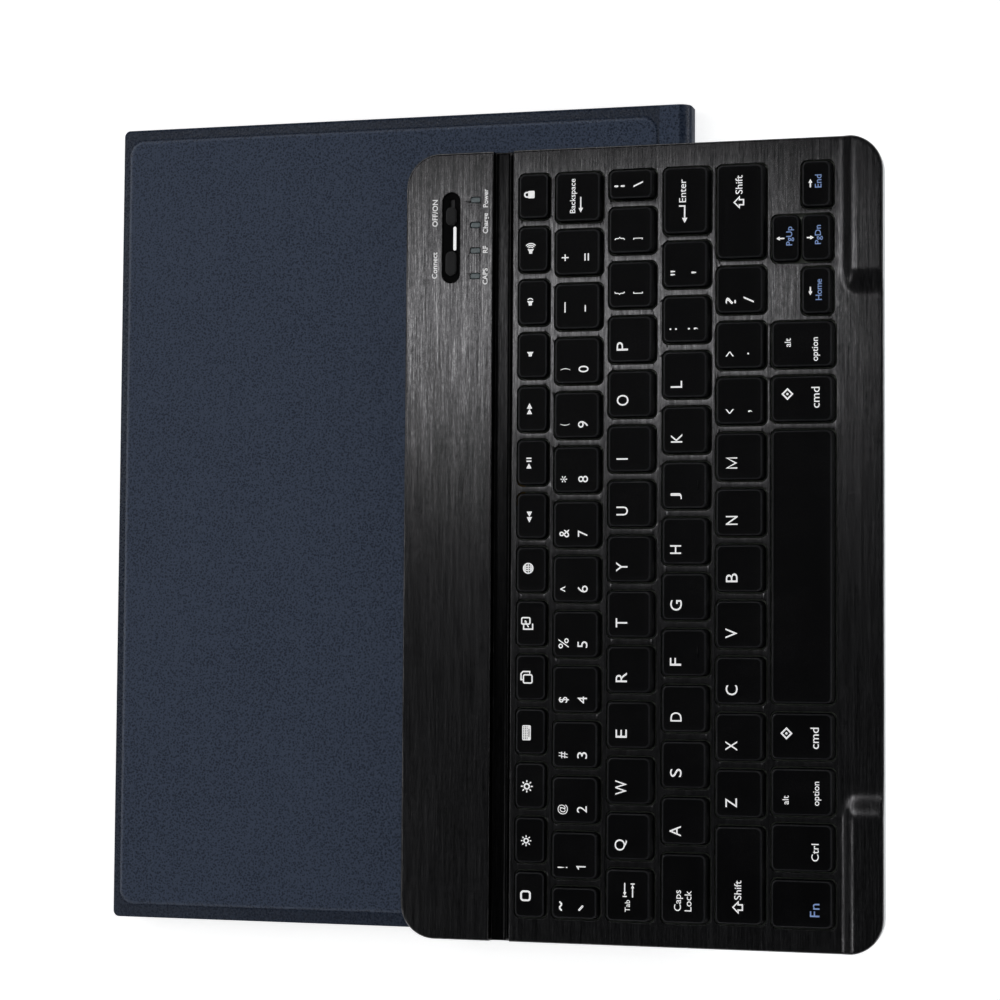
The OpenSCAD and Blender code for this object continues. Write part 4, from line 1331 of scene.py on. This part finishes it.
def legends(name, caps):
    ink = Ink()
    if name == "keys_function_row":
        for c, ic, (sv, su) in zip(caps, FN_ICONS, FN_SHIFT):
            cv, cu, z = at(c, 0.43, 0.5)
            cv, cu = cv + sv, cu + su
            ink.icon(ic, cv, cu, z)
            if ic == "keyboard":
                ink.icon("keyboard_dots", cv, cu, z, 2, 0.012)
    elif name == "keys_number_row":
        for c, a, b in zip(caps, NUM, NUM_UP):
            glyph(ink, a, c)
            glyph(ink, b, c)
    elif name in ("keys_upper_row", "keys_home_row", "keys_lower_row"):
        seq, ups = {"keys_upper_row": (UPPER, UPPER_UP), "keys_home_row": (HOME, HOME_UP), "keys_lower_row": (LOWER, LOWER_UP)}[name]
        for c, a in zip(caps, seq):
            glyph(ink, a, c)
            if a in ups:
                glyph(ink, ups[a], c)
            if a in "FJ":
                v0, u0, v1, u1, z = face_of(c)
                ink.put(*stroke([(-1.6, 0), (1.6, 0)], 0.5), v0 + 0.83 * (v1 - v0), (u0 + u1) / 2, z, 2, 0.16)
    else:
        c = caps[0]
        v0, u0, v1, u1, z = face_of(c)
        dv, du = v1 - v0, u1 - u0
        sv, su = SHIFT.get(name, (0, 0))

        def word(s, cap, depth, start, mat=0, align="start", bold=0.015, spacing=1.0, low=0.93):
            ink.text(s, cap, v0 + depth * dv + sv, u0 + start + su, z, mat, bold, align, spacing, low=low)

        def ico(n, depth, start, mat=0):
            ink.icon(n, v0 + depth * dv + sv, u0 + start + su, z, mat)

        if name == "key_grave":
            ico("tilde", 0.235, 0.46 * du)
            ico("grave", 0.70, 0.42 * du)
        elif name == "key_backspace":
            word("Backspace", 1.80, 0.425, 2.5)
            ico("arrow_long", 0.615, 2.6 + 2.35)
        elif name == "key_tab":
            word("Tab", 1.65, 0.51, 2.7)
            ico("tab", 0.54, 2.7 + 4.1 + 2.45)
        elif name == "key_backslash":
            ico("broken_bar", 0.27, 0.46 * du)
            glyph(ink, "\\", c, (0.735 * dv - 0.68, 0.53 * du - 0.35, 3.0, 1.8))
        elif name == "key_caps_lock":
            word("Caps", 2.2, 0.385, 3.2)
            word("Lock", 2.2, 0.63, 3.2)
        elif name == "key_enter":
            word("Enter", 2.25, 0.445, du - 3.1, align="end")
            ico("enter", 0.47, du - 3.1 - 6.75 - 4.0)
        elif name == "key_shift_left":
            ico("shift", 0.50, 3.5 + 1.8)
            word("Shift", 2.26, 0.50, 3.5 + 4.05)
        elif name == "key_shift_right":
            word("Shift", 2.26, 0.52, du - 2.7, align="end")
            ico("shift", 0.52, du - 2.7 - 6.35 - 1.9)
        elif name == "key_fn":
            word("Fn", 3.1, 0.725, 2.9, 1, low=0.9, spacing=1.06)
        elif name == "key_ctrl":
            word("Ctrl", 2.28, 0.735, 3.2)
        elif name == "key_option_left":
            word("alt", 1.86, 0.243, 5.05, align="center", low=1.0)
            word("option", 1.89, 0.755, 7.1, align="center", low=1.0)
        elif name == "key_option_right":
            word("alt", 1.86, 0.270, 7.6, align="center", low=1.0)
            word("option", 1.89, 0.730, 5.45, align="center", low=1.0)
        elif name == "key_command_left":
            ico("diamond", 0.255, 8.1)
            word("cmd", 2.65, 0.73, 3.6)
        elif name == "key_command_right":
            ico("diamond", 0.255, 8.5)
            word("cmd", 2.65, 0.73, 4.2)
        elif name == "key_home":
            ico("left", 0.27, 0.51 * du)
            word("Home", 1.85, 0.58, 0.54 * du, 1, "center", low=1.0, spacing=0.93)
        elif name == "key_end":
            ico("right", 0.28, 0.52 * du)
            word("End", 1.95, 0.57, 0.56 * du, 1, "center", low=1.0)
        elif name == "key_page_up":
            ico("up", 0.35, 0.50 * du)
            word("PgUp", 1.9, 0.70, 0.55 * du, 1, "center")
        elif name == "key_page_down":
            ico("down", 0.30, 0.50 * du)
            word("PgDn", 1.9, 0.60, 0.56 * du, 1, "center")
        elif name == "key_space":
            return None
    return ink


for name, caps in KEYS.items():
    mb = MB()
    for c in caps:
        keycap(mb, c)
    ob = make(name + "_caps", mb, [M["cap"], M["cap_rim_highlight"]], (KX, KY, KZ), angle=50)
    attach(ob, BODY_OF[name])
    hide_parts(name)
    ink = legends(name, caps)
    if ink is not None and ink.mb.v:
        ob = make(name + "_marks", ink.mb, [M["white"], M["blue"], M["cap"]], (KX, KY, KZ), angle=30, weighted=False)
        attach(ob, BODY_OF[name])

# rubber domes: one under each key, the foot on the membrane
DOME = [[p * 1000 for p in q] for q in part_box("rubber_domes")]
DZ0, DZ1 = DOME[0][2] - KZ, DOME[1][2] - KZ
for name, caps in KEYS.items():
    mb = MB()
    for c in caps:
        mu, mv = (c[1] + c[3]) / 2, (c[0] + c[2]) / 2
        h = DZ1 - DZ0
        prof = [(1.2, 0.0), (2.35, 0.0), (2.4, 0.04), (2.36, 0.10), (2.2, 0.30), (1.9, 0.55), (1.6, 0.80), (1.45, 0.93), (1.25, 0.985), (0.9, 0.99)]
        rings = [[(mv + r * math.cos(a), mu + r * math.sin(a), DZ0 + h * t) for a in np.linspace(0, 2 * math.pi, 24, endpoint=False)]
                 for r, t in prof]
        k = mb.rings(rings)
        mb.face(k[0])
        mb.face(list(reversed(k[-1])))
    ob = make(name + "_domes", mb, [M["dome"]], (KX, KY, KZ), angle=60, weighted=False)
    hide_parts("rubber_domes")
    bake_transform(ob)

ink = Ink()
for word, cap, v, u in (("OFF/ON", 1.62, 9.53, 225.75), ("Connect", 1.62, 9.5, 209.3), ("Power", 1.5, 25.95, 229.95),
                        ("Charge", 1.5, 25.95, 222.05), ("RF", 1.5, 25.95, 213.85), ("CAPS", 1.5, 25.95, 205.4)):
    ink.text(word, cap, v, u, DECK, 0, 0.03, "center")
ob = make("deck_marks", ink.mb, [M["label"]], (KX, KY, KZ), angle=30, weighted=False)
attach(ob, "keyboard")

# ---------------------------------------------------------------- hidden parts keep their CAD shape
KEEP = {
    "front_cover_board": ("board", "board"), "back_board_near": ("board", "board"), "back_board_far": ("board", "board"),
    "cover_magnets": ("magnet", "magnet"), "catch_plates": ("steel", "steel"), "key_support_plate": ("steel", "steel"),
    "membrane_sheet": ("membrane", "membrane"), 
    "scissor_frames": ("plastic", "inner_plastic"), "main_board": ("pcb", "board_green"), "battery": ("battery", "battery_foil"),
    "ribbon_tail": ("ribbon", "ribbon"), "charging_socket": ("steel", "steel"), "power_switch_body": ("plastic", "steel"),
    "pairing_switch": ("steel", "steel"), "status_leds": ("led", "led"), "groove_magnets": ("magnet", "magnet"),
}
for n, (key, s) in KEEP.items():
    ob = NODES[n]
    ob.data.materials.clear()
    ob.data.materials.append(M[key])

# ---------------------------------------------------------------- stage, lights and camera
def stage_plane():
    m = Mat("floor")
    fac = m.noise(3.0, 2.0)
    m.set(Base_Color=m.ramp(fac, [(0.3, (0.80, 0.80, 0.80, 1)), (0.7, (0.84, 0.84, 0.84, 1))]), Roughness=0.9)
    m.p.inputs["Specular IOR Level"].default_value = 0.0
    m.p.inputs["Emission Color"].default_value = (1, 1, 1, 1)
    m.p.inputs["Emission Strength"].default_value = 0.75
    geo = m.n("ShaderNodeNewGeometry")
    tr = m.n("ShaderNodeBsdfTransparent")
    mx = m.n("ShaderNodeMixShader")
    m.l(geo.outputs["Backfacing"], mx.inputs[0])
    m.l(m.p.outputs[0], mx.inputs[1])
    m.l(tr.outputs[0], mx.inputs[2])
    m.l(mx.outputs[0], m.out.inputs[0])
    me = bpy.data.meshes.new("floor")
    s = 4.0
    me.from_pydata([(-s, -s, -0.0002), (s, -s, -0.0002), (s, s, -0.0002), (-s, s, -0.0002)], [], [(0, 1, 2, 3)])
    me.materials.append(m.mat)
    ob = bpy.data.objects.new("floor", me)
    SCENE.collection.objects.link(ob)
    # low pale wall all round, like the sides of a light tent
    w = Mat("tent")
    fac = w.noise(1.5, 2.0)
    w.set(Base_Color=w.ramp(fac, [(0.3, (0.8, 0.8, 0.8, 1)), (0.7, (0.84, 0.84, 0.84, 1))]), Roughness=0.9)
    w.p.inputs["Specular IOR Level"].default_value = 0.0
    w.p.inputs["Emission Color"].default_value = (1, 1, 1, 1)
    w.p.inputs["Emission Strength"].default_value = 0.22
    n = 64
    vs, fs = [], []
    for i in range(n):
        a = 2 * math.pi * i / n
        vs += [(3.2 * math.cos(a), 3.2 * math.sin(a), -0.3), (3.2 * math.cos(a), 3.2 * math.sin(a), 1.5)]
    for i in range(n):
        j = (i + 1) % n
        fs.append((2 * i, 2 * j, 2 * j + 1, 2 * i + 1))
    me = bpy.data.meshes.new("tent")
    me.from_pydata(vs, [], fs)
    for p in me.polygons:
        p.use_smooth = True
    me.materials.append(w.mat)
    ob = bpy.data.objects.new("tent", me)
    SCENE.collection.objects.link(ob)


stage_plane()


def area(name, loc, target, sx, sy, radiance, color=(1, 1, 1)):
    d = bpy.data.lights.new(name, "AREA")
    d.shape, d.size, d.size_y = "RECTANGLE", sx, sy
    d.energy = radiance * math.pi * sx * sy
    d.color = color
    ob = bpy.data.objects.new(name, d)
    ob.location = loc
    ob.rotation_euler = (Vector(target) - Vector(loc)).to_track_quat("-Z", "Y").to_euler()
    SCENE.collection.objects.link(ob)
    return ob


# the softbox mirrored by the deck
for name, x, y, sx, sy, k in (("softbox_left", -0.66, 0.266, 0.46, 0.172, 2.5), ("softbox_right", -0.28, 0.258, 0.30, 0.165, 2.3)):
    area(name, (x, y, 1.5), (x, y, 0.0), sx, sy, k).rotation_euler = (0, 0, 0)
# broad fills that only light matt surfaces, stronger from the left
for name, at_, size, k in (("overhead", (0.1, 0.0, 1.9), 2.2, 0.40), ("left_fill", (-0.55, 0.25, 0.70), 0.40, 1.5)):
    area(name, at_, (0, 0, 0), size, size, k).visible_glossy = False
area("side_left", (-1.9, 0.5, 0.8), (0, 0, 0), 1.2, 0.5, 0.9)
area("side_right", (1.9, 0.3, 1.3), (0, 0, 0), 0.5, 1.2, 0.12)
area("front_left", (-0.88, -0.33, 1.5), (-0.88, -0.33, 0.0), 0.34, 0.30, 1.3).rotation_euler = (0, 0, 0)

world = bpy.data.worlds.new("world")
SCENE.world = world
world.use_nodes = True
world.node_tree.nodes["Background"].inputs[0].default_value = (0.92, 0.95, 1.0, 1)
world.node_tree.nodes["Background"].inputs[1].default_value = 0.04

cam_d = bpy.data.cameras.new("camera")
cam = bpy.data.objects.new("camera", cam_d)
SCENE.collection.objects.link(cam)
cam.location = (0.22286, -0.03809, 0.79906)
cam.rotation_euler = tuple(math.radians(a) for a in (3.2631, 15.5123, 0.4090))
cam_d.lens = 94.326
cam_d.sensor_width = 36.0
cam_d.clip_start, cam_d.clip_end = 0.01, 50
SCENE.camera = cam
SCENE.view_settings.view_transform = "Standard"
SCENE.view_settings.look = "None"
